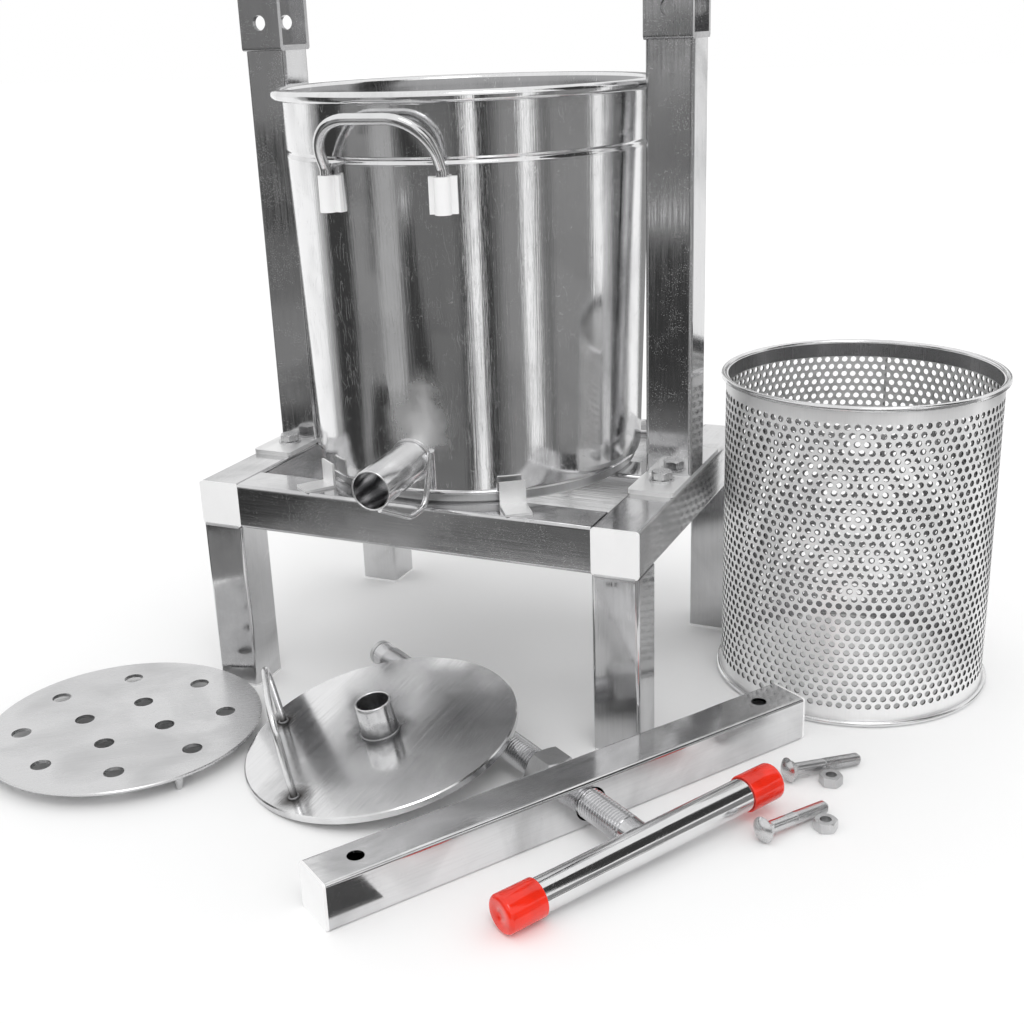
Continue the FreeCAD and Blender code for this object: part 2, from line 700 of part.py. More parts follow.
def thrust_cap():
    start = SCREW_TIP_REACH - THRUST_CAP_LENGTH + 0.05
    length = THRUST_CAP_LENGTH - 0.05
    cap = cylinder(THRUST_CAP_DIAMETER / 2, length, vec(0, start, SCREW_HEIGHT), vec(0, 1, 0))
    ends = [edge for edge in cap.Edges if edge.BoundBox.YMin > start + 1]
    cap = cap.makeChamfer(1.0, ends)
    socket = cylinder(SPIGOT_DIAMETER / 2 + RUNNING_CLEARANCE, SPIGOT_LENGTH + 0.05,
                      vec(0, start - 0.05, SCREW_HEIGHT), vec(0, 1, 0))
    return cap.cut(socket)


def along_handle(shape):
    placed = shape.copy()
    placed.rotate(HERE, vec(0, 1, 0), 90 - HANDLE_ROLL)
    placed.rotate(HERE, UP, HANDLE_SKEW)
    placed.translate(vec(0, -HANDLE_DISTANCE, SCREW_HEIGHT))
    return placed


def t_handle_tube():
    bar = tube(HANDLE_DIAMETER / 2, HANDLE_WALL, HANDLE_LENGTH, vec(0, 0, -HANDLE_LENGTH / 2))
    bar = along_handle(bar)
    return bar.cut(cylinder(SCREW_RADIUS, HANDLE_DISTANCE, vec(0, -HANDLE_DISTANCE, SCREW_HEIGHT),
                            vec(0, 1, 0)))


def handle_cap(end):
    inside = HANDLE_DIAMETER / 2
    outside = inside + CAP_WALL
    start = HANDLE_LENGTH / 2 + CAP_END_THICKNESS - CAP_LENGTH
    cap = cylinder(outside, CAP_LENGTH, vec(0, 0, start))
    ends = [edge for edge in cap.Edges if edge.BoundBox.ZMin > start + 1]
    cap = cap.makeChamfer(2.0, ends)
    cap = cap.cut(cylinder(inside, HANDLE_LENGTH / 2 - start, vec(0, 0, start)))
    if end < 0:
        cap.rotate(HERE, vec(1, 0, 0), 180)
    return along_handle(cap)


# Loose fasteners

def carriage_bolt():
    head_radius = BOLT_HEAD_DIAMETER / 2
    ball = (head_radius ** 2 + BOLT_HEAD_HEIGHT ** 2) / (2 * BOLT_HEAD_HEIGHT)
    dome = Part.makeSphere(ball, vec(0, 0, ball))
    head = dome.common(cylinder(head_radius, BOLT_HEAD_HEIGHT))
    neck = block(vec(-BOLT_DIAMETER / 2, -BOLT_DIAMETER / 2, BOLT_HEAD_HEIGHT),
                 vec(BOLT_DIAMETER / 2, BOLT_DIAMETER / 2, BOLT_HEAD_HEIGHT + BOLT_NECK_LENGTH))
    shank = cylinder(BOLT_DIAMETER / 2, BOLT_LENGTH, vec(0, 0, BOLT_HEAD_HEIGHT))
    return head.fuse([neck, shank]).removeSplitter()


def lay_bolt(along, across, turn):
    drop = (BOLT_HEAD_DIAMETER - BOLT_DIAMETER) / 2
    slope = math.degrees(math.asin(drop / BOLT_LENGTH))
    bolt = carriage_bolt()
    bolt.rotate(HERE, vec(0, 1, 0), 90 + slope)
    bolt.rotate(HERE, UP, turn)
    bolt.translate(vec(along, -across, 0))
    bolt.translate(vec(0, 0, -bolt.BoundBox.ZMin))
    return beside_beam(bolt)


def loose_nut(along, across, turn):
    nut = chamfered_hexagon(SMALL_NUT_FLATS, SMALL_NUT_HEIGHT)
    nut = nut.cut(cylinder(BOLT_DIAMETER / 2 - 0.7, SMALL_NUT_HEIGHT))
    nut.rotate(HERE, UP, turn)
    nut.translate(vec(along, -across, 0))
    return beside_beam(nut)


# Put each group in its place

def moved(shapes, x, y, z):
    placed = []
    for shape in shapes:
        copy = shape.copy()
        copy.translate(vec(x, y, z))
        placed.append(copy)
    return placed


def stand_nodes():
    end_rail = STAND_DEPTH / 2 - FRAME_TUBE / 2
    return {
        "left_side_rail": [side_rail(-1)],
        "right_side_rail": [side_rail(1)],
        "front_cross_rail": [cross_rail(-end_rail)],
        "middle_cross_rail": [cross_rail(0)],
        "rear_cross_rail": [cross_rail(end_rail)],
        "front_left_leg": [leg(-1, -1)],
        "front_right_leg": [leg(1, -1)],
        "rear_left_leg": [leg(-1, 1)],
        "rear_right_leg": [leg(1, 1)],
        "rail_end_plates": rail_end_plates(),
        "leg_foot_plates": leg_foot_plates(),
        "pot_locating_tabs": pot_locating_tabs(),
        "left_upright": [upright(-1)],
        "right_upright": [upright(1)],
        "left_base_plate": [base_plate(-1)],
        "right_base_plate": [base_plate(1)],
        "left_beam_fork": [beam_fork(-1)],
        "right_beam_fork": [beam_fork(1)],
        "base_plate_bolts": base_bolts(),
        "base_plate_washers": base_washers(),
        "base_plate_nuts": base_nuts(),
    }


def pot_nodes():
    handle = [pot_handle_rod()]
    brackets = pot_handle_brackets()
    nodes = {
        "pot_body": [pot_body()],
        "pot_base_disc": [pot_base_disc()],
        "spout_tube": [spout_tube()],
        "spout_support_wire": [brace_wire()],
        "front_pot_handle": handle,
        "front_handle_brackets": brackets,
        "rear_pot_handle": turned_round(handle),
        "rear_handle_brackets": turned_round(brackets),
    }
    return {name: moved(shapes, 0, 0, STAND_HEIGHT) for name, shapes in nodes.items()}


def basket_nodes():
    nodes = {
        "basket_shell": [basket_shell()],
        "basket_top_rim": [basket_rim(BASKET_HEIGHT - BASKET_BEAD / 2)],
        "basket_bottom_rim": [basket_rim(BASKET_BEAD / 2)],
    }
    return {name: moved(shapes, BASKET_X, BASKET_Y, 0) for name, shapes in nodes.items()}


def plate_nodes():
    return {
        "drain_plate": moved([drain_plate()], DRAIN_X, DRAIN_Y, 0),
        "drain_plate_legs": moved(drain_plate_legs(), DRAIN_X, DRAIN_Y, 0),
        "press_plate_disc": [lean_on_screw(press_plate_disc())],
        "press_plate_hub": [lean_on_screw(press_plate_hub())],
        "press_plate_loop": [lean_on_screw(press_plate_loop())],
    }


def beam_nodes():
    nodes = {
        "cross_beam": [cross_beam()],
        "beam_end_plates": beam_end_plates(),
        "press_nut": [press_nut()],
        "press_screw": [press_screw()],
        "thrust_cap": [thrust_cap()],
        "t_handle_tube": [t_handle_tube()],
        "left_handle_cap": [handle_cap(-1)],
        "right_handle_cap": [handle_cap(1)],
    }
    return {name: [beside_beam(shape) for shape in shapes] for name, shapes in nodes.items()}


def fastener_nodes():
    return {
        "beam_bolts": [lay_bolt(BOLT_ONE_ALONG, BOLT_ONE_ACROSS, BOLT_ONE_TURN),
                       lay_bolt(BOLT_TWO_ALONG, BOLT_TWO_ACROSS, BOLT_TWO_TURN)],
        "beam_bolt_nuts": [loose_nut(LOOSE_NUT_ONE_ALONG, LOOSE_NUT_ONE_ACROSS, 10),
                           loose_nut(LOOSE_NUT_TWO_ALONG, LOOSE_NUT_TWO_ACROSS, 25)],
    }


def main():
    os.makedirs("parts", exist_ok=True)
    nodes = {}
    for group in (stand_nodes, pot_nodes, basket_nodes, plate_nodes, beam_nodes, fastener_nodes):
        nodes.update(group())
    shapes = {}
    for name, solids in nodes.items():
        shapes[name] = solids[0] if len(solids) == 1 else Part.makeCompound(solids)
    whole = Part.makeCompound(list(shapes.values())).optimalBoundingBox(False, False)
    centre_x = (whole.XMin + whole.XMax) / 2
    centre_y = (whole.YMin + whole.YMax) / 2
    for name, shape in shapes.items():
        shape.translate(vec(-centre_x, -centre_y, 0))
        shape.exportStep("parts/" + name + ".step")
        box = shape.optimalBoundingBox(False, False)
        print(name, len(shape.Solids), shape.isValid(), round(shape.Volume), round(box.XMin, 2),
              round(box.YMin, 2), round(box.ZMin, 2), round(box.XMax, 2), round(box.YMax, 2),
              round(box.ZMax, 2))
    print("layout centre", round(centre_x, 4), round(centre_y, 4))


main()
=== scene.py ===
"""Looks of the manual fruit press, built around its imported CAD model. Metres, +Z up."""

import json
import math

import bmesh
import bpy
from mathutils import Matrix, Vector


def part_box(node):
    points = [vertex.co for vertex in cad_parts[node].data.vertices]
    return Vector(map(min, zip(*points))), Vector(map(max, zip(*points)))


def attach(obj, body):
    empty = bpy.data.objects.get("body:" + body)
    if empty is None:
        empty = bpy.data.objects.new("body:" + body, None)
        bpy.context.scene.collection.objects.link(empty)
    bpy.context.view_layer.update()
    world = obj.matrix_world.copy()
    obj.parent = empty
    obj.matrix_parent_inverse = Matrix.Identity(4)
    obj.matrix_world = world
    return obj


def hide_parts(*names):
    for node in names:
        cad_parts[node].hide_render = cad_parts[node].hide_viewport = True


bl_info = {
    "name": "Manual fruit press",
    "version": (1, 0, 0),
    "blender": (4, 5, 0),
    "location": "3D View > Sidebar > Fruit press",
    "description": "Builds the visual pieces, finishes and stage of a manual fruit press",
    "category": "Object",
}

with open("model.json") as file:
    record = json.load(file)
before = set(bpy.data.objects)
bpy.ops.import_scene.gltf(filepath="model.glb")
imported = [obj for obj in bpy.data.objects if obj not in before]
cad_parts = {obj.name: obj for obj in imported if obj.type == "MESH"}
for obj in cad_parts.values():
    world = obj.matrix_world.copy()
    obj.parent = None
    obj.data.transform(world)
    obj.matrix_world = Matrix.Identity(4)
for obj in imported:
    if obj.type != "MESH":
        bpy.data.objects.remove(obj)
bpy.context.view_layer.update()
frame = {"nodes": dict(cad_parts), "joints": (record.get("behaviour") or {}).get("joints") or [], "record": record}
behaviour = frame["record"]["behaviour"]
BODY_OF = {node: body for body, nodes in behaviour["bodies"].items() for node in nodes}
UP = Vector((0, 0, 1))
ACROSS = Vector((1, 0, 0))
looks = {}

LEGS = ["front_left_leg", "front_right_leg", "rear_left_leg", "rear_right_leg"]
LOOSE_BOLTS = ((0.1563, 0.0589, -12.5), (0.0826, 0.1104, 1.8))  # along the beam, away from it, degrees
WELD, THIN_WELD, HUB_WELD = 0.0013, 0.0011, 0.0014  # radii of the weld beads
WELD_STEP, WELD_RIPPLE = 0.0012, 0.12  # length of one ripple and its share of the radius
WELD_INSET = 0.003  # from a tube's corner to the end of its bead
SMALL_GAP = 0.0006  # from a wall to the rod or bead on it
# How far the basket's blank bands stand out from the sheet and overlap its holes
BAND_PROUD, BAND_LAP = 0.0001, 0.0004

# Steel finishes: colour, roughness, wear, dust, bump, and metallic where it isn't 1
FINISHES = {
    "pot_sheet": ("bright", 0.045, 0.3, 0.6, 0.4),
    # Inside of the pot: darker colour than its outside, painted shade
    "pot_inside": ("inside", 0.16, 0.6, 0.3, 0.2),
    "pot_base": ("satin", 0.3, 0.5, 0.4, 0.25),
    "spout_tube": ("bright", 0.14, 0.25, 0.2, 0.15),
    "wire_rod": ("bright", 0.16, 0.3, 0.1, 0.1),
    "handle_rod": ("bright", 0.12, 0.25, 0.1, 0.1),
    "bracket": ("white", 0.65, 0.04, 0.0, 0.1, 0.15),
    "weld": ("satin", 0.3, 0.7, 0.0, 0.25),
    "basket_sheet": ("pale", 0.36, 0.35, 0.3, 0.2, 0.45),
    # Inside of the basket: darker than its pale outside, painted shade
    "basket_inside": ("plate", 0.34, 0.6, 0.3, 0.2),
    # Walls of the holes: near-black, painted shade
    "basket_hole_edge": ("edge", 0.4, 0.3, 0.0, 0.0),
    "basket_band": ("bright", 0.12, 0.3, 0.2, 0.3),
    "basket_blank_band": ("pale", 0.3, 0.3, 0.3, 0.2, 0.55),
    # Inside of the blank bands: darker, painted shade
    "basket_band_inside": ("inside", 0.2, 0.5, 0.3, 0.3),
    "press_plate": ("bright", 0.09, 0.45, 0.5, 0.15),
    "loop_rod": ("bright", 0.16, 0.3, 0.1, 0.1),
    "hub_tube": ("bright", 0.17, 0.4, 0.1, 0.2),
    "plate_weld": ("worn", 0.35, 0.8, 0.0, 0.25),
    "drain_plate": ("satin", 0.22, 0.35, 0.4, 0.3),
    "drain_leg": ("satin", 0.2, 0.4, 0.4, 0.25),
    "screw_thread": ("thread", 0.13, 0.5, 0.1, 0.05),
    "thrust_cap": ("satin", 0.28, 0.5, 0.4, 0.25),
    "handle_tube": ("bright", 0.05, 0.2, 0.2, 0.12),
    "bolt_steel": ("satin", 0.2, 0.5, 0.1, 0.1),
    "fastener": ("satin", 0.24, 0.5, 0.1, 0.1),
    "cross_beam": ("bright", 0.07, 0.45, 0.5, 0.15),
    "side_rail": ("satin", 0.08, 0.6, 0.8, 0.15),
    "cross_rail": ("satin", 0.06, 0.6, 0.9, 0.12),
    "leg": ("satin", 0.04, 0.45, 0.4, 0.12),
    "upright": ("satin", 0.06, 0.5, 1.2, 0.12),
    "fork": ("plate", 0.14, 0.6, 1.0, 0.12),
    "end_plate": ("white", 0.62, 0.05, 0.1, 0.1, 0.15),
    "base_plate": ("pale", 0.3, 0.25, 0.3, 0.1, 0.7),
    "stand_weld": ("satin", 0.34, 0.6, 0.0, 0.25),
}

# Cards that the steel mirrors: shares of the card colour, and wedges on the floor in degrees
# from the camera's direction
SHADES = {"dark": 1.0, "deep": 1.8, "grey": 3.4, "light": 5.4, "pale": 9.0, "white": 21.0}
WEDGES = ((-112, -103, "pale"), (-103, -81, "dark"), (-81, -60, "light"), (-60, -46, "pale"),
          (-46, -9, "grey"), (-9, -3, "deep"), (4.5, 12, "dark"), (12, 18, "grey"), (18, 31, "light"),
          (38, 44, "light"), (44, 50, "grey"), (50, 80, "light"), (90, 97, "light"), (97, 110, "grey"),
          (110, 120, "pale"), (138, 166, "light"))


# Settings

def length(name, value, text):
    return bpy.props.FloatProperty(name=name, description=text, default=value, unit="LENGTH", precision=5)


def turn(name, degrees, text):
    return bpy.props.FloatProperty(name=name, description=text, default=math.radians(degrees),
                                   unit="ROTATION")


def colour(name, value, text):
    return bpy.props.FloatVectorProperty(name=name, description=text, default=value, subtype="COLOR",
                                         size=3, min=0.0, max=1.0)


def share(name, value, text):
    return bpy.props.FloatProperty(name=name, description=text, default=value, min=0.0, max=4.0)


def count(name, value, text):
    return bpy.props.IntProperty(name=name, description=text, default=value, min=1)


class PotSizes(bpy.types.PropertyGroup):
    """Sizes of the pot, its handles and its spout"""
    steps: count("Steps round the pot", 192, "Faces round the pot wall")
    wall: length("Sheet", 0.0015, "Thickness of the pot's sheet")
    base_radius: length("Base radius", 0.1455, "Outside radius just above the bottom corner")
    body_radius: length("Body radius", 0.1535, "Outside radius just below the groove")
    band_radius: length("Band radius", 0.154, "Outside radius of the band above the groove")
    rim_radius: length("Rim radius", 0.163, "Outside radius of the rolled rim")
    corner: length("Bottom corner", 0.006, "Radius of the bottom corner")
    height: length("Height", 0.327, "From the stand's top to the pot's rim")
    groove_height: length("Groove height", 0.2765, "Middle of the pressed groove")
    groove_depth: length("Groove depth", 0.0016, "How far the groove goes in")
    groove_width: length("Groove width", 0.006, "Height of the groove")
    bead: length("Rim bead", 0.009, "Diameter of the rolled rim")
    base_disc: length("Base disc", 0.0075, "Thickness of the disc under the pot")
    rod: length("Handle rod", 0.009, "Diameter of the handle rod")
    handle_spread: turn("Handle spread", 18.5, "Half the angle between the handle's feet")
    handle_low: length("Handle low end", 0.24, "Height of the rod's lower ends")
    handle_bend: length("Handle bend", 0.27, "Height of the bend above the brackets")
    handle_top: length("Handle top", 0.3085, "Height of the grip")
    handle_reach: length("Handle reach", 0.018, "Distance of the grip from the band")
    handle_corner: length("Handle corner", 0.034, "Bend radius of the grip's corners")
    handle_foot: length("Handle foot", 0.012, "Bend radius above the brackets")
    spout: length("Spout", 0.033, "Outside diameter of the spout")
    spout_wall: length("Spout wall", 0.0015, "Wall of the spout tube")
    spout_bearing: turn("Spout bearing", 2.8, "Angle of the spout from the front")
    mouth_radius: length("Spout mouth", 0.221, "Distance of the mouth from the pot's axis")
    mouth_height: length("Mouth height", 0.0356, "Height of the mouth's middle")
    wall_height: length("Root height", 0.038, "Height of the spout's middle at the wall")
    wire: length("Brace wire", 0.005, "Diameter of the wire under the spout")
    wire_rail_gap: length("Wire gap", 0.0011, "Gap between the wire and the front rail")
    wire_wall_gap: length("Wire wall gap", 0.0009, "Gap between the wire and the pot's wall")
    wire_bearing: turn("Wire bearing", 9.6, "Angle of the wire's upper end from the front")
    wire_high: length("Wire high end", 0.046, "Height of the wire's upper end")
    wire_bend: length("Wire bend", 0.014, "Bend radius of the wire")
    wire_side: length("Wire side", 0.023, "Distance of the wire's upright part from the spout's middle")
    wire_low: length("Wire low end", 0.0025, "Height of the wire's lower part")
    wire_reach: length("Wire reach", 0.043, "From the mouth back to the wire's front bend")
    wire_end: length("Wire end", 0.012, "From the mouth back to the wire's end")


class BasketSizes(bpy.types.PropertyGroup):
    """Sizes of the perforated basket"""
    sheet: length("Sheet", 0.0015, "Thickness of the perforated sheet")
    hole: length("Hole", 0.0051, "Diameter of one hole")
    columns: count("Columns", 91, "Holes in one row round the basket")
    rows: count("Rows", 36, "Rows of holes")
    row_pitch: length("Row pitch", 0.00693, "Height of one row")
    bead: length("Rim bead", 0.005, "Diameter of the rim wire")
    radius: length("Radius", 0.1157, "Outside radius of the sheet")


class ScrewSizes(bpy.types.PropertyGroup):
    """Sizes of the press screw, its handle and the bolts"""
    diameter: length("Screw", 0.024, "Outside diameter of the thread")
    pitch: length("Pitch", 0.003, "Travel of one turn")
    thread_depth: length("Thread depth", 0.0017, "From the crest to the root")
    thread_start: length("Thread start", -0.066, "First turn, from the beam's middle")
    thread_end: length("Thread end", 0.294, "Last turn, from the beam's middle")
    cap_start: length("Cap start", 0.304, "Where the swivelling cap begins")
    handle_distance: length("Handle distance", 0.083, "From the beam's middle to the handle")
    handle: length("Handle tube", 0.0254, "Outside diameter of the handle tube")
    handle_wall: length("Handle wall", 0.0015, "Wall of the handle tube")
    handle_length: length("Handle length", 0.248, "Length of the handle tube")
    handle_roll: turn("Handle roll", 1.9, "Roll of the handle about the screw")
    handle_skew: turn("Handle skew", 2.0, "Angle of the handle to the beam")
    cap_wall: length("Grip wall", 0.0016, "Wall of the soft end caps")
    cap_length: length("Grip length", 0.031, "Length of the soft end caps")
    cap_end: length("Grip end", 0.0022, "Thickness of the caps' closed end")
    cap_lip: length("Grip lip", 0.0008, "Radius of the caps' open edge")
    cap_fillet: length("Grip fillet", 0.0034, "Radius of the caps' closed edge")
    bolt: length("Bolt", 0.010, "Diameter of the loose bolts")
    bolt_length: length("Bolt length", 0.065, "Length of the bolts under the head")
    bolt_head: length("Bolt head", 0.020, "Diameter of the domed head")
    bolt_head_height: length("Bolt head height", 0.005, "Height of the domed head")
    bolt_neck: length("Bolt neck", 0.006, "Length of the square neck")
    bolt_pitch: length("Bolt pitch", 0.0015, "Thread pitch of the bolts")
    bolt_thread: length("Bolt thread", 0.034, "Length of the bolts' thread")


class PlateSizes(bpy.types.PropertyGroup):
    """Place and sizes of the leaning press plate"""
    across_screw: length("Across the screw", 0.077, "Distance of the plate's middle from the screw")
    along_screw: length("Along the screw", 0.1645, "Distance of the plate's middle from the beam")
    fall: turn("Fall", 171.4, "Direction in which the plate falls to the floor")
    lean: turn("Lean", 10.0778, "Angle between the plate and the floor")
    radius: length("Radius", 0.1138, "Radius of the plate")
    floor_gap: length("Floor gap", 0.00002, "Gap at the floor")
    rim: length("Rim", 0.0058, "Height of the plate's turned rim")
    hub: length("Hub", 0.030, "Outside diameter of the hub tube")
    hub_wall: length("Hub wall", 0.0018, "Wall of the hub tube")
    hub_height: length("Hub height", 0.029, "Height of the hub tube")
    loop_rod: length("Loop rod", 0.006, "Diameter of the lifting loop's rod")
    loop_radius: length("Loop radius", 0.097, "Distance of the loop's feet from the middle")
    loop_start: turn("Loop start", 121.4, "Direction of the loop's first foot")
    loop_end: turn("Loop end", 196.4, "Direction of the loop's second foot")
    loop_height: length("Loop height", 0.068, "Height of the loop")
    loop_taper: share("Loop taper", 0.12, "Share by which the loop narrows at its top")
    loop_corner: length("Loop corner", 0.030, "Bend radius of the loop")


class PressColours(bpy.types.PropertyGroup):
    """Colours of the finishes"""
    bright: colour("Bright steel", (0.80, 0.80, 0.805), "Polished stainless steel")
    satin: colour("Satin steel", (0.66, 0.66, 0.665), "Brushed stainless steel")
    plate: colour("Plate steel", (0.50, 0.50, 0.505), "Pickled plate")
    worn: colour("Worn steel", (0.30, 0.30, 0.305), "Stains and darker grain")
    # Near-black colour of the basket's hole walls: painted shade
    thread: colour("Thread steel", (0.72, 0.72, 0.73), "Turned thread")
    edge: colour("Punched edge", (0.10, 0.10, 0.10), "Edges of the punched holes")
    # Dark tone for the inside of the pot and of the basket's bands: painted shade
    inside: colour("Pot inside", (0.34, 0.34, 0.345), "Duller steel inside the pot")
    burnt: colour("Heat tint", (0.035, 0.03, 0.028), "Burnt metal beside the welds")
    pale: colour("Pale steel", (0.93, 0.93, 0.93), "Etched sheet")
    white: colour("White steel", (0.95, 0.95, 0.95), "Ground and blasted end plates")
    red: colour("Red plastic", (0.88, 0.022, 0.004), "Soft end caps")
    floor: colour("Floor", (0.96, 0.96, 0.96), "White paper under the object")
    card: colour("Dark card", (0.045, 0.045, 0.045), "Flags that the steel mirrors")


class StageSizes(bpy.types.PropertyGroup):
    """Camera and light"""
    camera_x: length("Camera X", 0.474679, "Place of the camera")
    camera_y: length("Camera Y", -0.961620, "Place of the camera")
    camera_z: length("Camera Z", 0.568428, "Place of the camera")
    yaw: turn("Yaw", -24.8664, "Turn of the view from +Y towards +X")
    pitch: turn("Pitch", 19.6525, "Fall of the view below the horizon")
    roll: turn("Roll", 2.11998, "Roll of the picture")
    lens: bpy.props.FloatProperty(name="Lens", description="Focal length", default=48.2637, unit="CAMERA")
    floor_size: length("Floor", 14.0, "Half the width of the floor")
    sun: share("Lamp", 0.4, "Strength of the soft lamp")
    sun_angle: turn("Lamp size", 25, "Angle over which the soft lamp spreads")
    card_lift: length("Card lift", 0.001, "Height of the cards above the floor")
    card_near: length("Card start", 0.5, "Where the cards on the floor begin")
    card_far: length("Card end", 4.4, "Where the cards stand up")
    card_tall: length("Card height", 1.3, "Height of the standing part")


GROUPS = {"press_pot": PotSizes, "press_basket": BasketSizes, "press_screw": ScrewSizes,
          "press_plate": PlateSizes, "press_colours": PressColours, "press_stage": StageSizes}


def settings(name):
    return getattr(bpy.context.scene, name)


# Places of the groups of pieces, read from the CAD model and the settings

def middle_of(node):
    low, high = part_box(node)
    return (low + high) / 2


def pot_place():
    middle = middle_of("pot_base_disc")
    return Matrix.Translation((middle.x, middle.y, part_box("pot_base_disc")[0].z))


def basket_place():
    middle = middle_of("basket_bottom_rim")
    return Matrix.Translation((middle.x, middle.y, 0))


def beam_place(at_screw=False):
    """On the floor or at the screw's height; local X runs along the beam, local Y along the screw"""
    joint = next(joint for joint in frame["joints"] if joint["name"] == "screw_turn")
    x, y, z = joint["pos_m"]
    inward = Vector(joint["axis"])
    place = Matrix.Translation((x, y, z if at_screw else 0))
    return place @ Matrix.Rotation(math.atan2(-inward.x, inward.y), 4, "Z")


def screw_place():
    """Local Z runs along the screw, away from the handle"""
    return beam_place(True) @ Matrix.Rotation(-math.pi / 2, 4, "X")


def handle_place():
    """Local Z runs along the handle"""
    s = settings("press_screw")
    place = beam_place(True) @ Matrix.Translation((0, -s.handle_distance, 0))
    roll = Matrix.Rotation(math.pi / 2 - s.handle_roll, 4, "Y")
    return place @ Matrix.Rotation(s.handle_skew, 4, "Z") @ roll


def plate_place():
    s = settings("press_plate")
    rise = s.radius * math.sin(s.lean) + s.floor_gap
    place = beam_place() @ Matrix.Translation((-s.across_screw, s.along_screw, rise))
    return place @ Matrix.Rotation(s.lean, 4, Vector((-math.sin(s.fall), math.cos(s.fall), 0)))


def spout_line():
    """Middle of the spout at the pot's wall and at its mouth, from the pot's place"""
    s = settings("press_pot")
    angle = s.spout_bearing - math.pi / 2
    return (round_point(s.base_radius - s.wall / 2, angle, s.wall_height),
            round_point(s.mouth_radius, angle, s.mouth_height))


def spout_place():
    """Local Z runs along the spout, out of the pot"""
    root, mouth = spout_line()
    return pot_place() @ aimed(root, (mouth - root).normalized())


def direction_in(place, axis=UP):
    return (place.to_3x3() @ axis).normalized()


# Shapes

def aimed(point, direction):
    """Matrix that takes local Z to a direction at a point"""
    return Matrix.Translation(point) @ direction.to_track_quat("Z", "Y").to_matrix().to_4x4()


def round_point(radius, angle, height=0.0):
    return Vector((radius * math.cos(angle), radius * math.sin(angle), height))


def circle_points(radius, height, steps):
    return [round_point(radius, 2 * math.pi * i / steps, height) for i in range(steps + 1)]


def arc(middle, radius, first, last, steps):
    """Points of an arc in the X-Z plane, angles in degrees from +X towards +Z"""
    angles = [math.radians(first + (last - first) * i / steps) for i in range(steps + 1)]
    return flat_points([(middle[0] + radius * math.cos(angle), middle[1] + radius * math.sin(angle))
                        for angle in angles])


def flat_points(pairs):
    return [Vector((x, 0, z)) for x, z in pairs]


def tube_outline(outside, wall, low, ring, high):
    """Profile of a tube whose upper end is rounded; ring is the height of its last plain ring"""
    inside = outside - wall
    return (flat_points([(inside, low), (outside, low), (outside, ring)])
            + arc((outside - wall / 2, high - wall / 2), wall / 2, 0, 180, 6) + flat_points([(inside, ring)]))


def verts_in(geom):
    return [item for item in geom if isinstance(item, bmesh.types.BMVert)]


def line_of(bm, points):
    """A chain of edges through the points"""
    vert = bmesh.ops.create_vert(bm, co=points[0])["vert"][0]
    verts, edges = [vert], []
    for point in points[1:]:
        made = bmesh.ops.extrude_vert_indiv(bm, verts=[vert])
        vert = made["verts"][0]
        vert.co = point
        verts.append(vert)
        edges += made["edges"]
    return verts, edges


def spun(bm, points, angle, steps, rise=0.0, merge=False):
    """A chain of points spun round the Z axis, rising at every step"""
    verts, edges = line_of(bm, points)
    bmesh.ops.spin(bm, geom=verts + edges, cent=(0, 0, 0), axis=UP, dvec=UP * rise, angle=angle,
                   steps=steps, use_merge=merge, use_duplicate=False)


def turned(points, place, steps, closed=True, bm=None):
    """Turns a profile in the X-Z plane round the Z axis, then places it"""
    bm = bm or bmesh.new()
    older = set(bm.verts)
    spun(bm, points + points[:1] if closed else points, 2 * math.pi, steps, merge=True)
    bmesh.ops.transform(bm, matrix=place, verts=[vert for vert in bm.verts if vert not in older])
    return bm


def rounded(points, radii, steps):
    """The points of a bent rod's centre line, each corner rounded by its radius"""
    out = [points[0]]
    for before, corner, after, radius in zip(points, points[1:], points[2:], radii):
        back, forth = (before - corner).normalized(), (after - corner).normalized()
        half = back.angle(forth) / 2
        longest = 0.78 * min((before - corner).length, (after - corner).length)
        reach = min(radius / math.tan(half), longest)
        fitted = reach * math.tan(half)
        middle = corner + (back + forth).normalized() * (fitted / math.sin(half))
        first, last = corner + back * reach - middle, corner + forth * reach - middle
        swing = first.angle(last)
        axis = first.cross(last).normalized()
        out += [middle + Matrix.Rotation(swing * i / steps, 3, axis) @ first for i in range(steps + 1)]
    return out + points[-1:]


def swept(points, radius, place, segments=16, ripple=0.0, bm=None):
    """A round rod along the points; ripple makes every second ring fuller, as a weld bead is"""
    bm = bm or bmesh.new()
    points = [place @ point for point in points]
    last = len(points) - 1
    directions = [(points[min(i + 1, last)] - points[max(i - 1, 0)]).normalized() for i in range(last + 1)]
    verts = bmesh.ops.create_circle(bm, cap_ends=True, radius=radius, segments=segments,
                                    matrix=aimed(points[0], directions[0]))["verts"]
    edges = list({edge for vert in verts for edge in vert.link_edges if edge.other_vert(vert) in verts})
    for i in range(1, last + 1):
        made = bmesh.ops.extrude_edge_only(bm, edges=edges)["geom"]
        verts = verts_in(made)
        inside = set(verts)
        edges = [item for item in made if isinstance(item, bmesh.types.BMEdge)
                 and item.verts[0] in inside and item.verts[1] in inside]
        bend = directions[i - 1].rotation_difference(directions[i]).to_matrix().to_4x4()
        size = 1 + ripple if i % 2 else 1 / (1 + ripple)
        to_origin = Matrix.Translation(-points[i - 1])
        move = Matrix.Translation(points[i]) @ bend @ Matrix.Scale(size, 4) @ to_origin
        bmesh.ops.transform(bm, matrix=move, verts=verts)
    bmesh.ops.edgeloop_fill(bm, edges=edges)
    return bm


def bead(points, radius, place, bm=None):
    """A rippled weld bead through the points"""
    line = []
    for first, last in zip(points, points[1:]):
        steps = max(1, round((last - first).length / WELD_STEP))
        line += [first.lerp(last, i / steps) for i in range(steps)]
    return swept(line + points[-1:], radius, place, 8, WELD_RIPPLE, bm)


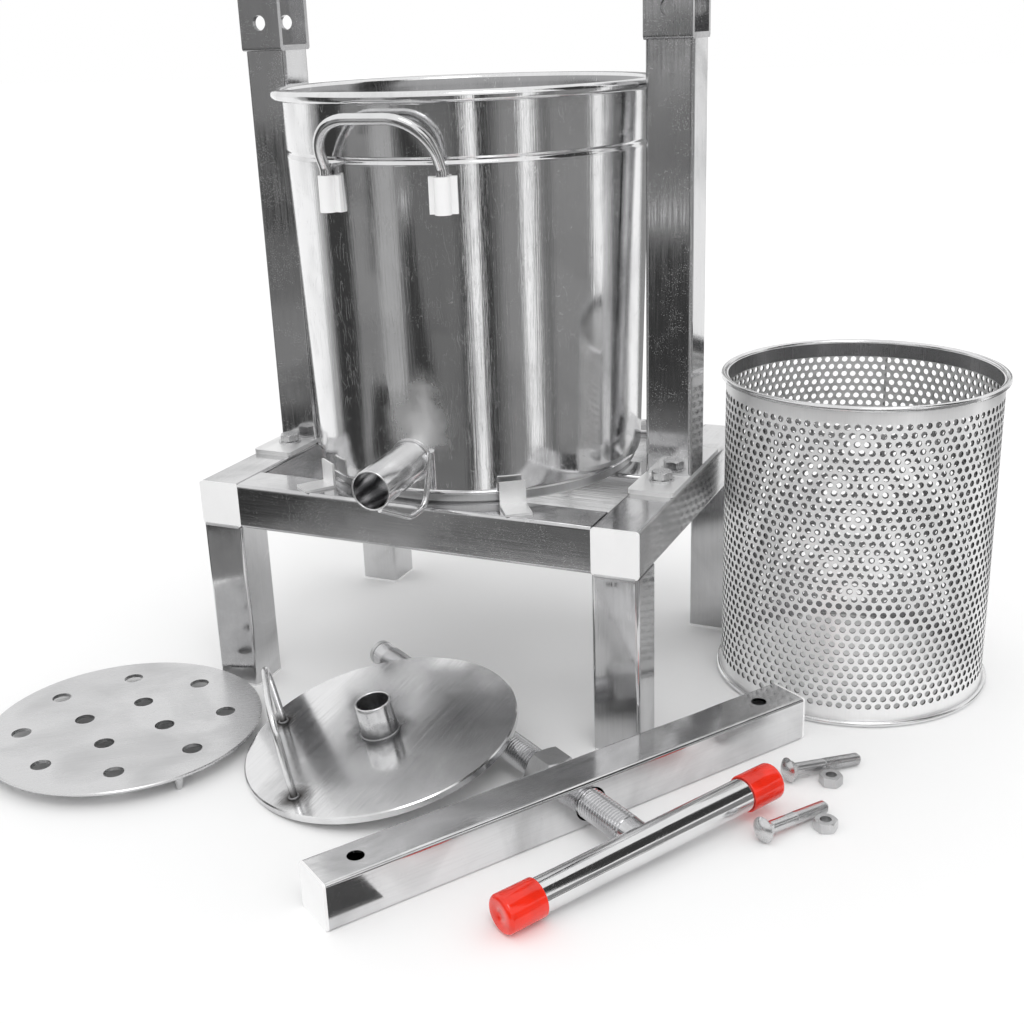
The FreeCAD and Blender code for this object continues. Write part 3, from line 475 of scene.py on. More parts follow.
def threaded(radius, depth, pitch, start, end, place, steps=28, bm=None):
    """A screw thread round the Z axis, one turned pitch of profile at a time"""
    bm = bm or bmesh.new()
    older = set(bm.verts)
    root = radius - depth
    shape = ((root, 0), (root, 0.12), (radius, 0.44), (radius, 0.56), (root, 0.88), (root, 1))
    profile = flat_points([(out, start + part * pitch) for out, part in shape])
    spun(bm, profile, 2 * math.pi, steps, rise=pitch / steps)
    first_turn = [face for face in bm.faces if face.verts[0] not in older]
    for index in range(1, int((end - start) / pitch) - 1):
        copy = bmesh.ops.duplicate(bm, geom=first_turn)["geom"]
        bmesh.ops.translate(bm, vec=UP * (pitch * index), verts=verts_in(copy))
    bmesh.ops.transform(bm, matrix=place, verts=[vert for vert in bm.verts if vert not in older])
    return bm


def linked(name, bm, look=None):
    """A new object of a finished bmesh"""
    mesh = bpy.data.meshes.new(name)
    bm.to_mesh(mesh)
    bm.free()
    if look:
        mesh.materials.append(look)
    piece = bpy.data.objects.new(name, mesh)
    bpy.context.scene.collection.objects.link(piece)
    return piece


def add_piece(bm, name, like, look, sharp=38.0, replaces=True):
    """A piece that rides as the CAD node it is like, and takes its place or lies on it"""
    bmesh.ops.remove_doubles(bm, verts=bm.verts, dist=0.000002)
    bmesh.ops.recalc_face_normals(bm, faces=bm.faces)
    piece = linked(name, bm, look)
    piece.data.shade_smooth()
    piece.data.set_sharp_from_angle(angle=math.radians(sharp))
    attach(piece, BODY_OF[like])
    if replaces:
        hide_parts(like)
    return piece


# Finishes

class Tree:
    """Short calls for building one node tree"""

    def __init__(self, tree):
        self.tree = tree

    def add(self, kind, options=None, **inputs):
        node = self.tree.nodes.new(kind)
        for key, value in (options or {}).items():
            setattr(node, key, value)
        for key, value in inputs.items():
            self.feed(node, key.replace("_", " "), value)
        return node

    def feed(self, node, key, value):
        socket = node.inputs[int(key[1:])] if key.startswith("#") else node.inputs[key]
        if isinstance(value, bpy.types.NodeSocket):
            self.tree.links.new(value, socket)
        else:
            socket.default_value = value

    def math(self, operation, a, b=0.0):
        return self.add("ShaderNodeMath", {"operation": operation}, **{"#0": a, "#1": b}).outputs[0]

    def plus(self, a, b):
        return self.math("ADD", a, b)

    def times(self, a, b):
        return self.math("MULTIPLY", a, b)

    def ramp(self, value, low, high, out_low=0.0, out_high=1.0):
        return self.add("ShaderNodeMapRange", {"clamp": True}, Value=value, From_Min=low, From_Max=high,
                        To_Min=out_low, To_Max=out_high).outputs[0]

    def mix(self, part, a, b):
        return self.add("ShaderNodeMix", {"data_type": "RGBA"}, **{"#0": part, "#6": a, "#7": b}).outputs[2]

    def vector(self, operation, a, b):
        return self.add("ShaderNodeVectorMath", {"operation": operation}, **{"#0": a, "#1": b}).outputs

    def noise(self, vector, scale, detail, distortion=0.0):
        return self.add("ShaderNodeTexNoise", Vector=vector, Scale=scale, Detail=detail,
                        Distortion=distortion).outputs[0]

    def bump(self, height, strength, distance):
        return self.add("ShaderNodeBump", Strength=strength, Distance=distance, Height=height).outputs[0]

    def coordinates(self):
        return self.add("ShaderNodeTexCoord").outputs["Object"]


def new_group(name, inputs, outputs):
    """A node group; inputs are (name, kind, default), outputs (name, kind)"""
    group = bpy.data.node_groups.new(name, "ShaderNodeTree")
    for socket, kind, value in inputs:
        item = group.interface.new_socket(socket, in_out="INPUT", socket_type="NodeSocket" + kind)
        if value is not None:
            item.default_value = value
    for socket, kind in outputs:
        group.interface.new_socket(socket, in_out="OUTPUT", socket_type="NodeSocket" + kind)
    t = Tree(group)
    return t, t.add("NodeGroupInput").outputs, t.add("NodeGroupOutput"), t.coordinates()


def wear_group(name):
    """Grain, stains, scratches and dust of steel; round_wear bends the grain round an upright axis"""
    t, given, out, place = new_group(
        name,
        (("Vector", "Vector", None), ("Centre", "Vector", (0, 0, 0)), ("Base", "Color", (0.7, 0.7, 0.7, 1)),
         ("Stain", "Color", (0.3, 0.3, 0.3, 1)), ("Roughness", "Float", 0.25), ("Wear", "Float", 0.5),
         ("Dust", "Float", 0.5)),
        (("Color", "Color"), ("Roughness", "Float"), ("Height", "Float")))
    wear = given["Wear"]
    grain = given["Vector"]
    if name == "round_wear":
        parts = t.add("ShaderNodeSeparateXYZ", Vector=t.vector("SUBTRACT", place, given["Centre"])[0]).outputs
        angle = t.math("ARCTAN2", parts[1], parts[0])
        grain = t.add("ShaderNodeCombineXYZ", X=t.times(angle, 0.15), Z=t.times(parts[2], 0.02)).outputs[0]
    streak = t.noise(grain, 700.0, 4.0)
    broad = t.noise(grain, 45.0, 2.0)
    fine = t.noise(grain, 2600.0, 2.0)
    cloud = t.noise(place, 13.0, 6.0, 0.8)
    patch = t.noise(place, 55.0, 4.0, 0.4)
    stain = t.times(t.ramp(cloud, 0.46, 0.72), wear)
    stain = t.plus(stain, t.times(t.ramp(streak, 0.45, 0.8), t.times(wear, 0.22)))
    specks = t.add("ShaderNodeTexVoronoi", Vector=place, Scale=800.0).outputs["Distance"]
    near = t.math("LESS_THAN", specks, t.times(given["Dust"], 0.16))
    dust = t.times(near, t.ramp(patch, 0.44, 0.6))
    scratch_place = t.add("ShaderNodeMapping", Vector=place, Rotation=(0.4, 0.7, 0.9),
                          Scale=(60.0, 4.0, 9.0)).outputs[0]
    line = t.math("ABSOLUTE", t.math("SUBTRACT", t.noise(scratch_place, 4.0, 1.0), 0.5))
    scratch = t.times(t.math("LESS_THAN", line, 0.006), t.ramp(patch, 0.5, 0.62))
    tone = t.mix(t.math("MINIMUM", stain, 0.95), given["Base"], given["Stain"])
    tone = t.mix(t.times(dust, 0.9), tone, (0.95, 0.95, 0.95, 1))
    tone = t.mix(t.times(scratch, t.times(wear, 0.5)), tone, (0.9, 0.9, 0.9, 1))
    rough = t.plus(given["Roughness"], t.times(t.ramp(streak, 0.3, 0.8), 0.10))
    rough = t.plus(t.plus(rough, t.times(stain, 0.16)), t.times(dust, 0.5))
    height = t.plus(t.times(broad, 1.6), t.times(streak, 0.25))
    height = t.math("SUBTRACT", t.plus(height, t.times(fine, 0.12)), t.times(scratch, 0.3))
    for key, value in (("Color", tone), ("Roughness", rough), ("Height", height)):
        t.feed(out, key, value)


def spot_group(name):
    """Mask that is 1 near a point and fades with an uneven edge"""
    t, given, out, place = new_group(
        name,
        (("Point", "Vector", (0, 0, 0)), ("Inner", "Float", 0.01), ("Outer", "Float", 0.02),
         ("Uneven", "Float", 0.01)),
        (("Mask", "Float"),))
    shift = t.times(t.math("SUBTRACT", t.noise(place, 110.0, 5.0), 0.5), given["Uneven"])
    distance = t.plus(t.vector("DISTANCE", place, given["Point"])["Value"], shift)
    t.feed(out, "Mask", t.ramp(distance, given["Inner"], given["Outer"], 1.0, 0.0))


def grouped(t, name, **inputs):
    if name not in bpy.data.node_groups:
        (spot_group if name == "uneven_spot" else wear_group)(name)
    return t.add("ShaderNodeGroup", {"node_tree": bpy.data.node_groups[name]}, **inputs).outputs


def as_colour(value):
    return tuple(value) + (1.0,)


def new_look(name):
    """A new material with its tree, its shader and the Object coordinates"""
    material = bpy.data.materials.new(name)
    material.use_nodes = True
    t = Tree(material.node_tree)
    return material, t, material.node_tree.nodes["Principled BSDF"], t.coordinates()


def steel(name, along=UP, centre=None, spots=()):
    """A finish of FINISHES with its grain along a direction, or round an upright axis at the centre;
    spots are (point, inner, outer, colour, roughness): heat tint and burnishing, and painted light in the basket"""
    key = name + "_look"
    if key in looks:
        return looks[key]
    c = settings("press_colours")
    base, roughness, wear, dust, bump, *metallic = FINISHES[name]
    looks[key], t, shader, coords = new_look(key)
    grain = t.add("ShaderNodeMapping", {"vector_type": "TEXTURE"}, Vector=coords, Scale=(1.0, 1.0, 40.0),
                  Rotation=along.to_track_quat("Z", "Y").to_euler()[:]).outputs[0]
    worn = dict(Vector=grain, Base=as_colour(getattr(c, base)), Stain=as_colour(c.worn),
                Roughness=roughness, Wear=wear, Dust=dust)
    if centre is not None:
        worn["Centre"] = tuple(centre)
    out = grouped(t, "steel_wear" if centre is None else "round_wear", **worn)
    tone, rough = out["Color"], out["Roughness"]
    for point, inner, outer, tint, spot_rough in spots:
        mask = grouped(t, "uneven_spot", Point=tuple(point), Inner=inner, Outer=outer,
                       Uneven=0.5 * outer)["Mask"]
        tone = t.mix(mask, tone, as_colour(tint))
        rough = t.plus(rough, t.times(mask, spot_rough))
    shader.inputs["Metallic"].default_value = metallic[0] if metallic else 1.0
    t.feed(shader, "Base Color", tone)
    t.feed(shader, "Roughness", rough)
    t.feed(shader, "Normal", t.bump(out["Height"], bump, 0.0004))
    return looks[key]


def red_plastic():
    if "red" not in looks:
        c = settings("press_colours")
        looks["red"], t, shader, place = new_look("red_plastic_look")
        cloud = t.noise(place, 60.0, 4.0)
        deeper = [0.75 * value for value in c.red]
        t.feed(shader, "Base Color", t.mix(t.ramp(cloud, 0.4, 0.7), as_colour(c.red), as_colour(deeper)))
        t.feed(shader, "Roughness", t.ramp(t.noise(place, 900.0, 3.0), 0.3, 0.8, 0.12, 0.24))
        t.feed(shader, "Normal", t.bump(cloud, 0.08, 0.0003))
        shader.inputs["Coat Weight"].default_value = 0.3
        shader.inputs["Coat Roughness"].default_value = 0.08
    return looks["red"]


def paper(name, base):
    """Matt stage surface"""
    material, t, shader, place = new_look(name)
    paler = [min(1.0, value * 1.02) for value in base]
    t.feed(shader, "Base Color", t.mix(t.noise(place, 2.0, 3.0), as_colour(base), as_colour(paler)))
    shader.inputs["Roughness"].default_value = 0.9
    shader.inputs["Specular IOR Level"].default_value = 0.0
    return material


def outwards(normal, away):
    """1 for a face that looks away from an upright axis, -1 for one that looks at it"""
    return normal.dot(Vector((away.x, away.y, 0)).normalized())


def inner_faces(piece, axis, look, second=None):
    """Gives the faces that look towards the axis one finish, and those across it a second one"""
    piece.data.materials.append(look)
    if second:
        piece.data.materials.append(second)
    for face in piece.data.polygons:
        facing = outwards(face.normal, face.center - axis)
        if facing < -0.5:
            face.material_index = 1
        elif second and facing < 0.5:
            face.material_index = 2


def finish_nodes(look, nodes, **ways):
    """Gives CAD nodes a steel finish; their shapes stay as they are"""
    for node in nodes:
        piece = frame["nodes"][node]
        piece.data.materials.clear()
        piece.data.materials.append(steel(look, **ways))


# Pieces of the pot

def pot_outline(inset):
    """Profile of the pot's wall up to its groove, outside or inset by the sheet"""
    s = settings("press_pot")
    half = s.groove_width / 2
    points = flat_points([(0, s.base_disc + inset)])
    points += arc((s.base_radius - s.corner, s.base_disc + s.corner), s.corner - inset, -90, 0, 8)
    points += flat_points([(s.body_radius - inset, s.groove_height - 1.6 * half)])
    for step in range(7):
        part = step / 6
        depth = s.groove_depth * (0.5 - 0.5 * math.cos(2 * math.pi * part))
        radius = s.body_radius + (s.band_radius - s.body_radius) * part - inset - depth
        points.append(Vector((radius, 0, s.groove_height - half + 2 * half * part)))
    return points


def make_pot_body():
    s = settings("press_pot")
    pale = settings("press_colours").pale
    half = s.bead / 2
    rim = flat_points([(s.band_radius, s.height - s.bead - 0.001)])
    rim += arc((s.rim_radius - half, s.height - half), half, -90, 165, 16)
    rim += flat_points([(s.band_radius - s.wall, s.height - s.bead)])
    outline = pot_outline(0.0) + rim + pot_outline(s.wall)[::-1]
    axis = pot_place().translation
    root = pot_place() @ spout_line()[0]
    burnished = [(root + Vector((0.010, -0.002, 0.032)), 0.006, 0.036, pale, 0.4),
                 (root + Vector((0.016, -0.002, 0.062)), 0.002, 0.02, pale, 0.25)]
    piece = add_piece(turned(outline, pot_place(), s.steps, closed=False), "pot_body_turned", "pot_body",
                      steel("pot_sheet", centre=axis, spots=burnished), sharp=50)
    # The inside of the wall and the floor take a darker finish: painted shade
    piece.data.materials.append(steel("pot_inside", centre=axis))
    for face in piece.data.polygons:
        away = face.center - axis
        wall_inside = outwards(face.normal, away) < -0.2 and away.z < s.height - half
        floor_inside = face.normal.z > 0.5 and away.z < 0.5 * s.height
        if wall_inside or floor_inside:
            face.material_index = 1
    cut_spout_hole(piece)


def cut_spout_hole(piece):
    s = settings("press_pot")
    bore = s.spout / 2 - s.spout_wall
    bm = bmesh.new()
    bmesh.ops.create_cone(bm, cap_ends=True, segments=48, radius1=bore, radius2=bore, depth=0.03,
                          matrix=spout_place())
    cutter = linked("spout_cutter", bm)
    cut = piece.modifiers.new("Spout hole", "BOOLEAN")
    cut.operation = "DIFFERENCE"
    cut.solver = "EXACT"
    cut.object = cutter
    made = bpy.data.meshes.new_from_object(piece.evaluated_get(bpy.context.evaluated_depsgraph_get()))
    piece.modifiers.remove(cut)
    old, tool = piece.data, cutter.data
    piece.data = made
    made.name = piece.name
    bpy.data.objects.remove(cutter)
    for mesh in (old, tool):
        bpy.data.meshes.remove(mesh)


def make_spout():
    s = settings("press_pot")
    root, mouth = spout_line()
    place = spout_place()
    long = (mouth - root).length
    outside = s.spout / 2
    tube = turned(tube_outline(outside, s.spout_wall, 0, 0.4 * long, long), place, 72)
    add_piece(tube, "spout_tube_turned", "spout_tube", steel("spout_tube", along=(mouth - root).normalized()))
    upward = place.to_3x3().inverted() @ UP
    ring_turn = Matrix.Rotation(math.atan2(upward.y, upward.x), 3, "Z")
    weld = [ring_turn @ Vector((point.x, point.y, 0.0016 - point.y ** 2 / (2 * s.base_radius)))
            for point in circle_points(outside + SMALL_GAP, 0, 84)]
    add_piece(bead(weld, WELD, place), "spout_weld", "spout_tube", steel("weld"), replaces=False)


def make_brace_wire():
    s = settings("press_pot")
    radius = s.wire / 2
    mouth = spout_line()[1]
    rail_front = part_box("front_cross_rail")[0].y - pot_place().translation.y
    under = s.mouth_height - s.spout / 2 - radius - 0.0001
    wall = s.base_radius + radius + s.wire_wall_gap
    points = [round_point(wall, s.wire_bearing - math.pi / 2, s.wire_high),
              Vector((s.wire_side, rail_front - radius - s.wire_rail_gap, s.wire_low)),
              Vector((0.9 * s.wire_side, s.wire_reach - s.mouth_radius, s.wire_low - 0.002)),
              Vector((mouth.x + SMALL_GAP, s.wire_end - s.mouth_radius, under))]
    wire = swept(rounded(points, [s.wire_bend] * 2, 10), radius, pot_place())
    add_piece(wire, "spout_support_wire_bent", "spout_support_wire", steel("wire_rod"))


def make_pot_handles():
    s = settings("press_pot")
    foot = s.body_radius + s.rod / 2 + SMALL_GAP
    near, side = foot * math.cos(s.handle_spread), foot * math.sin(s.handle_spread)
    half = [Vector((side, -near, s.handle_low)), Vector((side, -near, s.handle_bend)),
            Vector((side, -s.band_radius - s.handle_reach, s.handle_top))]
    points = half + [Vector((-point.x, point.y, point.z)) for point in reversed(half)]
    line = rounded(points, [s.handle_foot, s.handle_corner, s.handle_corner, s.handle_foot], 12)
    look = steel("handle_rod", along=ACROSS)
    for name, angle in (("front_pot_handle", 0), ("rear_pot_handle", math.pi)):
        place = pot_place() @ Matrix.Rotation(angle, 4, "Z")
        add_piece(swept(line, s.rod / 2, place, 20), name + "_bent", name, look)


# Pieces of the basket

def perforated_tile(wide, tall, hole):
    """One hole in its tile, lying in the X-Z plane"""
    bm = bmesh.new()
    inner = bmesh.ops.create_circle(bm, cap_ends=False, radius=hole / 2 / math.cos(math.pi / 8), segments=8,
                                    matrix=Matrix.Rotation(math.pi / 2, 4, "X"))["verts"]
    edges = list({edge for vert in inner for edge in vert.link_edges})
    for vert in verts_in(bmesh.ops.extrude_edge_only(bm, edges=edges)["geom"]):
        angle = math.atan2(vert.co.z, vert.co.x)
        x, z = round(math.cos(angle), 3), round(math.sin(angle), 3)
        vert.co.x = wide / 2 * ((x > 0.1) - (x < -0.1))
        vert.co.z = tall / 2 * ((z > 0.1) - (z < -0.1))
    return bm


def laid(tile, places):
    """Copies of a tile, one at each place"""
    mesh = bpy.data.meshes.new("tile")
    tile.to_mesh(mesh)
    tile.free()
    bm = bmesh.new()
    for place in places:
        start = len(bm.verts)
        bm.from_mesh(mesh)
        bm.verts.ensure_lookup_table()
        bmesh.ops.translate(bm, vec=place, verts=bm.verts[start:])
    bpy.data.meshes.remove(mesh)
    return bm


def make_basket_shell():
    s = settings("press_basket")
    wide = 2 * math.pi * s.radius / s.columns
    low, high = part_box("basket_shell")
    first = (low.z + high.z) / 2 - s.row_pitch * s.rows / 2
    row = laid(perforated_tile(wide, s.row_pitch, s.hole), [(wide * i, 0, 0) for i in range(s.columns)])
    bm = laid(row, [(wide / 2 * (i % 2), 0, first + s.row_pitch * (i + 0.5)) for i in range(s.rows)])
    for vert in bm.verts:
        vert.co = round_point(s.radius, vert.co.x / s.radius, vert.co.z)
    bmesh.ops.transform(bm, matrix=basket_place(), verts=bm.verts)
    bmesh.ops.remove_doubles(bm, verts=bm.verts, dist=0.00002)
    bmesh.ops.recalc_face_normals(bm, faces=bm.faces)
    axis = basket_place().translation
    face = next(iter(bm.faces))
    if outwards(face.normal, face.calc_center_median() - axis) < 0:
        bmesh.ops.reverse_faces(bm, faces=bm.faces)
    bmesh.ops.solidify(bm, geom=bm.faces[:], thickness=s.sheet)
    piece = add_piece(bm, "basket_perforated_sheet", "basket_shell", steel("basket_sheet", centre=axis),
                      sharp=50)
    # Paler inside near the basket's top, fading downwards: painted light
    upper = (Vector((axis.x, axis.y, high.z)), 1.08 * s.radius, 1.32 * s.radius,
             settings("press_colours").pale, 0.1)
    # Faces towards the axis take a darker finish, painted shade, and the hole walls a near-black one, painted
    # shade
    inner_faces(piece, axis, steel("basket_inside", centre=axis, spots=[upper]),
                steel("basket_hole_edge", centre=axis))
    make_basket_bands(first, first + s.row_pitch * s.rows, low.z, high.z)


def make_basket_bands(lower, upper, bottom, top):
    """Blank bands below and above the rows of holes, rim wires and seam weld"""
    s = settings("press_basket")
    axis = basket_place().translation
    inner, outer = s.radius - s.sheet - BAND_PROUD, s.radius + BAND_PROUD
    bm = bmesh.new()
    for start, end in ((bottom, lower + BAND_LAP), (upper - BAND_LAP, top)):
        turned(flat_points([(inner, start), (outer, start), (outer, end), (inner, end)]), basket_place(), 180,
               bm=bm)
    bands = add_piece(bm, "basket_bands", "basket_shell", steel("basket_blank_band", centre=axis),
                      replaces=False)
    # The bands' inner faces take the darker finish: painted shade
    inner_faces(bands, axis, steel("basket_band_inside", centre=axis))
    for node in ("basket_top_rim", "basket_bottom_rim"):
        section = arc((s.radius + 0.4 * s.bead, middle_of(node).z), s.bead / 2, 0, 360 - 360 / 14, 13)
        add_piece(turned(section, basket_place(), 180), node + "_wire", node,
                  steel("basket_band", centre=axis))
    seam = [Vector((0, s.radius + 2 * BAND_PROUD, z)) for z in (bottom + 0.004, top - 0.004)]
    add_piece(bead(seam, THIN_WELD, basket_place()), "basket_seam_weld", "basket_shell", steel("weld"),
              replaces=False)


# Pieces of the press plate

def make_press_plate():
    s = settings("press_plate")
    c = settings("press_colours")
    place = plate_place()
    start, end = [round_point(s.loop_radius, angle, s.rim - 0.001) for angle in (s.loop_start, s.loop_end)]
    rise = UP * (s.loop_height + 0.001)
    inward = (end - start) * s.loop_taper
    line = rounded([start, start + rise + inward, end + rise - inward, end], [s.loop_corner] * 2, 12)
    feet = [place @ start, place @ end]
    hub_foot = place @ Vector((0, 0, s.rim))
    add_piece(swept(line, s.loop_rod / 2, place), "press_plate_loop_bent", "press_plate_loop",
              steel("loop_rod", spots=[(foot, 0.002, 0.013, c.burnt, 0.2) for foot in feet]))
    outside, top = s.hub / 2, s.rim + s.hub_height
    add_piece(turned(tube_outline(outside, s.hub_wall, s.rim, top - 0.004, top), place, 64),
              "press_plate_hub_turned", "press_plate_hub",
              steel("hub_tube", along=direction_in(place), spots=[(hub_foot, 0.0155, 0.021, c.worn, 0.2)]))
    bm = bead(circle_points(outside + SMALL_GAP, s.rim + 0.0004, 60), HUB_WELD, place)
    for foot in (start, end):
        around = [foot + Vector((point.x, point.y, 0.0014))
                  for point in circle_points(s.loop_rod / 2 + 0.0005, 0, 20)]
        bead(around, THIN_WELD, place, bm)
    add_piece(bm, "press_plate_welds", "press_plate_hub", steel("plate_weld"), replaces=False)
    tints = [(hub_foot, 0.018, 0.030, c.worn, 0.1)] + [(foot, 0.004, 0.017, c.burnt, 0.2) for foot in feet]
    finish_nodes("press_plate", ["press_plate_disc"], along=direction_in(place, Vector((0.4, 0.2, 0))),
                 spots=tints)


# Screw, handle and bolts

def make_screw():
    s = settings("press_screw")
    place = screw_place()
    radius = s.diameter / 2
    plain = radius - 0.0002
    core = radius - s.thread_depth + 0.0001
    outline = [(0, 0.003 - s.handle_distance), (plain, 0.003 - s.handle_distance),
               (plain, s.thread_start + 0.001), (core, s.thread_start + 0.003), (core, s.thread_end - 0.005),
               (plain, s.thread_end - 0.004), (plain, s.cap_start - 0.001), (plain - 0.001, s.cap_start),
               (0, s.cap_start)]
    bm = threaded(radius, s.thread_depth, s.pitch, s.thread_start, s.thread_end, place)
    turned(flat_points(outline), place, 56, closed=False, bm=bm)
    look = steel("screw_thread", along=direction_in(place))
    add_piece(bm, "press_screw_threaded", "press_screw", look, sharp=30)
    finish_nodes("thrust_cap", ["thrust_cap"])


def make_handle():
    s = settings("press_screw")
    place = handle_place()
    outside, half = s.handle / 2, s.handle_length / 2
    inside = outside - s.handle_wall
    outline = [(inside, -half), (outside, -half), (outside, 0), (outside, half), (inside, half), (inside, 0)]
    add_piece(turned(flat_points(outline), place, 96), "t_handle_tube_turned", "t_handle_tube",
              steel("handle_tube", along=direction_in(place)))
    end = half + s.cap_end
    low = end - s.cap_length + s.cap_lip
    wide = outside + s.cap_wall
    outline = flat_points([(0, half), (outside, half), (outside, low)])
    outline += arc((wide - s.cap_lip, low), s.cap_lip, -180, 0, 6)
    outline += arc((wide - s.cap_fillet, end - s.cap_fillet), s.cap_fillet, 0, 90, 9)
    outline += flat_points([(0.0032, end), (0.0026, end - 0.0007), (0.0, end - 0.0009)])
    for node, swing in (("left_handle_cap", math.pi), ("right_handle_cap", 0)):
        cap = turned(outline, place @ Matrix.Rotation(swing, 4, "X"), 80, closed=False)
        add_piece(cap, node + "_moulded", node, red_plastic(), sharp=60)


def bolt_mesh(bm, place):
    """Domed head, square neck, shank and thread of one bolt, its head at the local floor"""
    s = settings("press_screw")
    radius, root = s.bolt / 2, s.bolt / 2 - 0.0008
    head, tall = s.bolt_head / 2, s.bolt_head_height
    ball = (head ** 2 + tall ** 2) / (2 * tall)
    sweep = math.degrees(math.asin((head - 0.0004) / ball))
    outline = arc((0, ball), ball, -90, -90 + sweep, 9)
    outline += flat_points([(head, tall - 0.0004), (head - 0.0003, tall), (0, tall)])
    turned(outline, place, 48, closed=False, bm=bm)
    cube = bmesh.ops.create_cube(bm, size=1.0)["verts"]
    neck = place @ Matrix.Translation((0, 0, tall + s.bolt_neck / 2))
    bmesh.ops.transform(bm, matrix=neck @ Matrix.Diagonal((s.bolt, s.bolt, s.bolt_neck, 1)), verts=cube)
    edges = list({edge for vert in cube for edge in vert.link_edges})
    bmesh.ops.bevel(bm, geom=edges, offset=0.0004, segments=2, profile=0.5, affect="EDGES", material=-1)
    end = tall + s.bolt_length
    thread = end - s.bolt_thread
    shank = radius - 0.0001
    outline = [(0, tall), (shank, tall), (shank, thread + 0.0005), (root, thread + 0.0016),
               (root, end - 0.0012), (root - 0.0008, end), (0, end)]
    turned(flat_points(outline), place, 36, closed=False, bm=bm)
    threaded(radius, 0.00085, s.bolt_pitch, thread, end - 0.0002, place, steps=24, bm=bm)


def make_bolts():
    s = settings("press_screw")
    bm = bmesh.new()
    slope = math.asin((s.bolt_head - s.bolt) / 2 / s.bolt_length)
    for along, across, degrees in LOOSE_BOLTS:
        rest = Matrix.Rotation(math.radians(degrees), 4, "Z") @ Matrix.Rotation(math.pi / 2 + slope, 4, "Y")
        edge = max(-(rest @ Vector((sign * s.bolt_head / 2, 0, s.bolt_head_height))).z for sign in (-1, 1))
        bolt_mesh(bm, beam_place() @ Matrix.Translation((along, -across, edge)) @ rest)
    look = steel("bolt_steel", along=direction_in(beam_place(), ACROSS))
    add_piece(bm, "beam_bolts_threaded", "beam_bolts", look, sharp=32)


# Stand

def pair(name):
    return ["left_" + name, "right_" + name]


def make_stand_welds():
    """Beads round the feet of the uprights and the heads of the legs"""
    bm = bmesh.new()
    for node in LEGS + pair("upright"):
        low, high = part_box(node)
        z = high.z if node in LEGS else low.z
        for y in (low.y, high.y):
            ends = [Vector((low.x + WELD_INSET, y, z)), Vector((high.x - WELD_INSET, y, z))]
            bead(ends, WELD, Matrix(), bm)
    add_piece(bm, "stand_welds", "left_upright", steel("stand_weld"), replaces=False)


def make_stand():
    back = Vector((0, 1, 0))
    finish_nodes("side_rail", pair("side_rail"), along=back)
    finish_nodes("cross_rail", ["front_cross_rail", "middle_cross_rail", "rear_cross_rail"], along=ACROSS)
    finish_nodes("leg", LEGS)
    finish_nodes("upright", pair("upright"))
    finish_nodes("fork", pair("beam_fork"))
    finish_nodes("end_plate", ["rail_end_plates", "leg_foot_plates", "beam_end_plates"])
    finish_nodes("base_plate", pair("base_plate") + ["pot_locating_tabs"], along=back)
    finish_nodes("fastener", ["base_plate_bolts", "base_plate_washers", "base_plate_nuts", "beam_bolt_nuts",
                              "press_nut"])
    finish_nodes("bracket", ["front_handle_brackets", "rear_handle_brackets"])
    finish_nodes("pot_base", ["pot_base_disc"], centre=pot_place().translation)
    finish_nodes("cross_beam", ["cross_beam"], along=direction_in(beam_place(), ACROSS))
    finish_nodes("drain_plate", ["drain_plate"], along=Vector((0.8, 0.6, 0)))
    finish_nodes("drain_leg", ["drain_plate_legs"])
    make_stand_welds()


# Stage

def add_card(bm, name, look):
    """A card that only the steel's reflections see"""
    piece = linked(name, bm, look)
    for ray in ("visible_camera", "visible_diffuse", "visible_shadow"):
        setattr(piece, ray, False)


def wedge(name, start, end, look):
    """A card on the floor round the pot's axis that stands up at its far edge, angles in degrees
    from the camera's direction"""
    s = settings("press_stage")
    middle = pot_place().translation
    first = math.atan2(s.camera_y - middle.y, s.camera_x - middle.x) + math.radians(start)
    bm = bmesh.new()
    spun(bm, [round_point(s.card_near, first, s.card_lift), round_point(s.card_far, first, s.card_lift),
              round_point(s.card_far, first, s.card_tall)], math.radians(end - start), 24)
    bmesh.ops.translate(bm, vec=(middle.x, middle.y, 0), verts=bm.verts)
    add_card(bm, name, look)


def strip(name, foot, wide, line, look):
    """A straight card that the camera sees mirrored in one front face of the steel; line holds (distance,
    height) pairs measured from the face"""
    s = settings("press_stage")
    out = Vector((foot.x - s.camera_x, s.camera_y - foot.y, 0)).normalized()
    side = Vector((-out.y, out.x, 0)) * wide
    bm = bmesh.new()
    edges = line_of(bm, [Vector((foot.x, foot.y, 0)) + out * away + UP * height - side / 2
                         for away, height in line])[1]
    made = bmesh.ops.extrude_edge_only(bm, edges=edges)["geom"]
    bmesh.ops.translate(bm, vec=side, verts=verts_in(made))
    add_card(bm, name, look)


def flat_card(name, place, wide, tall, look):
    bm = bmesh.new()
    bmesh.ops.create_grid(bm, x_segments=1, y_segments=1, size=0.5,
                          matrix=place @ Matrix.Diagonal((wide, tall, 1, 1)))
    add_card(bm, name, look)


def facing_card(name, centre, wide, tall, look):
    """A standing card that faces the pot"""
    centre = Vector(centre)
    flat_card(name, aimed(centre, (pot_place().translation - centre).normalized()), wide, tall, look)


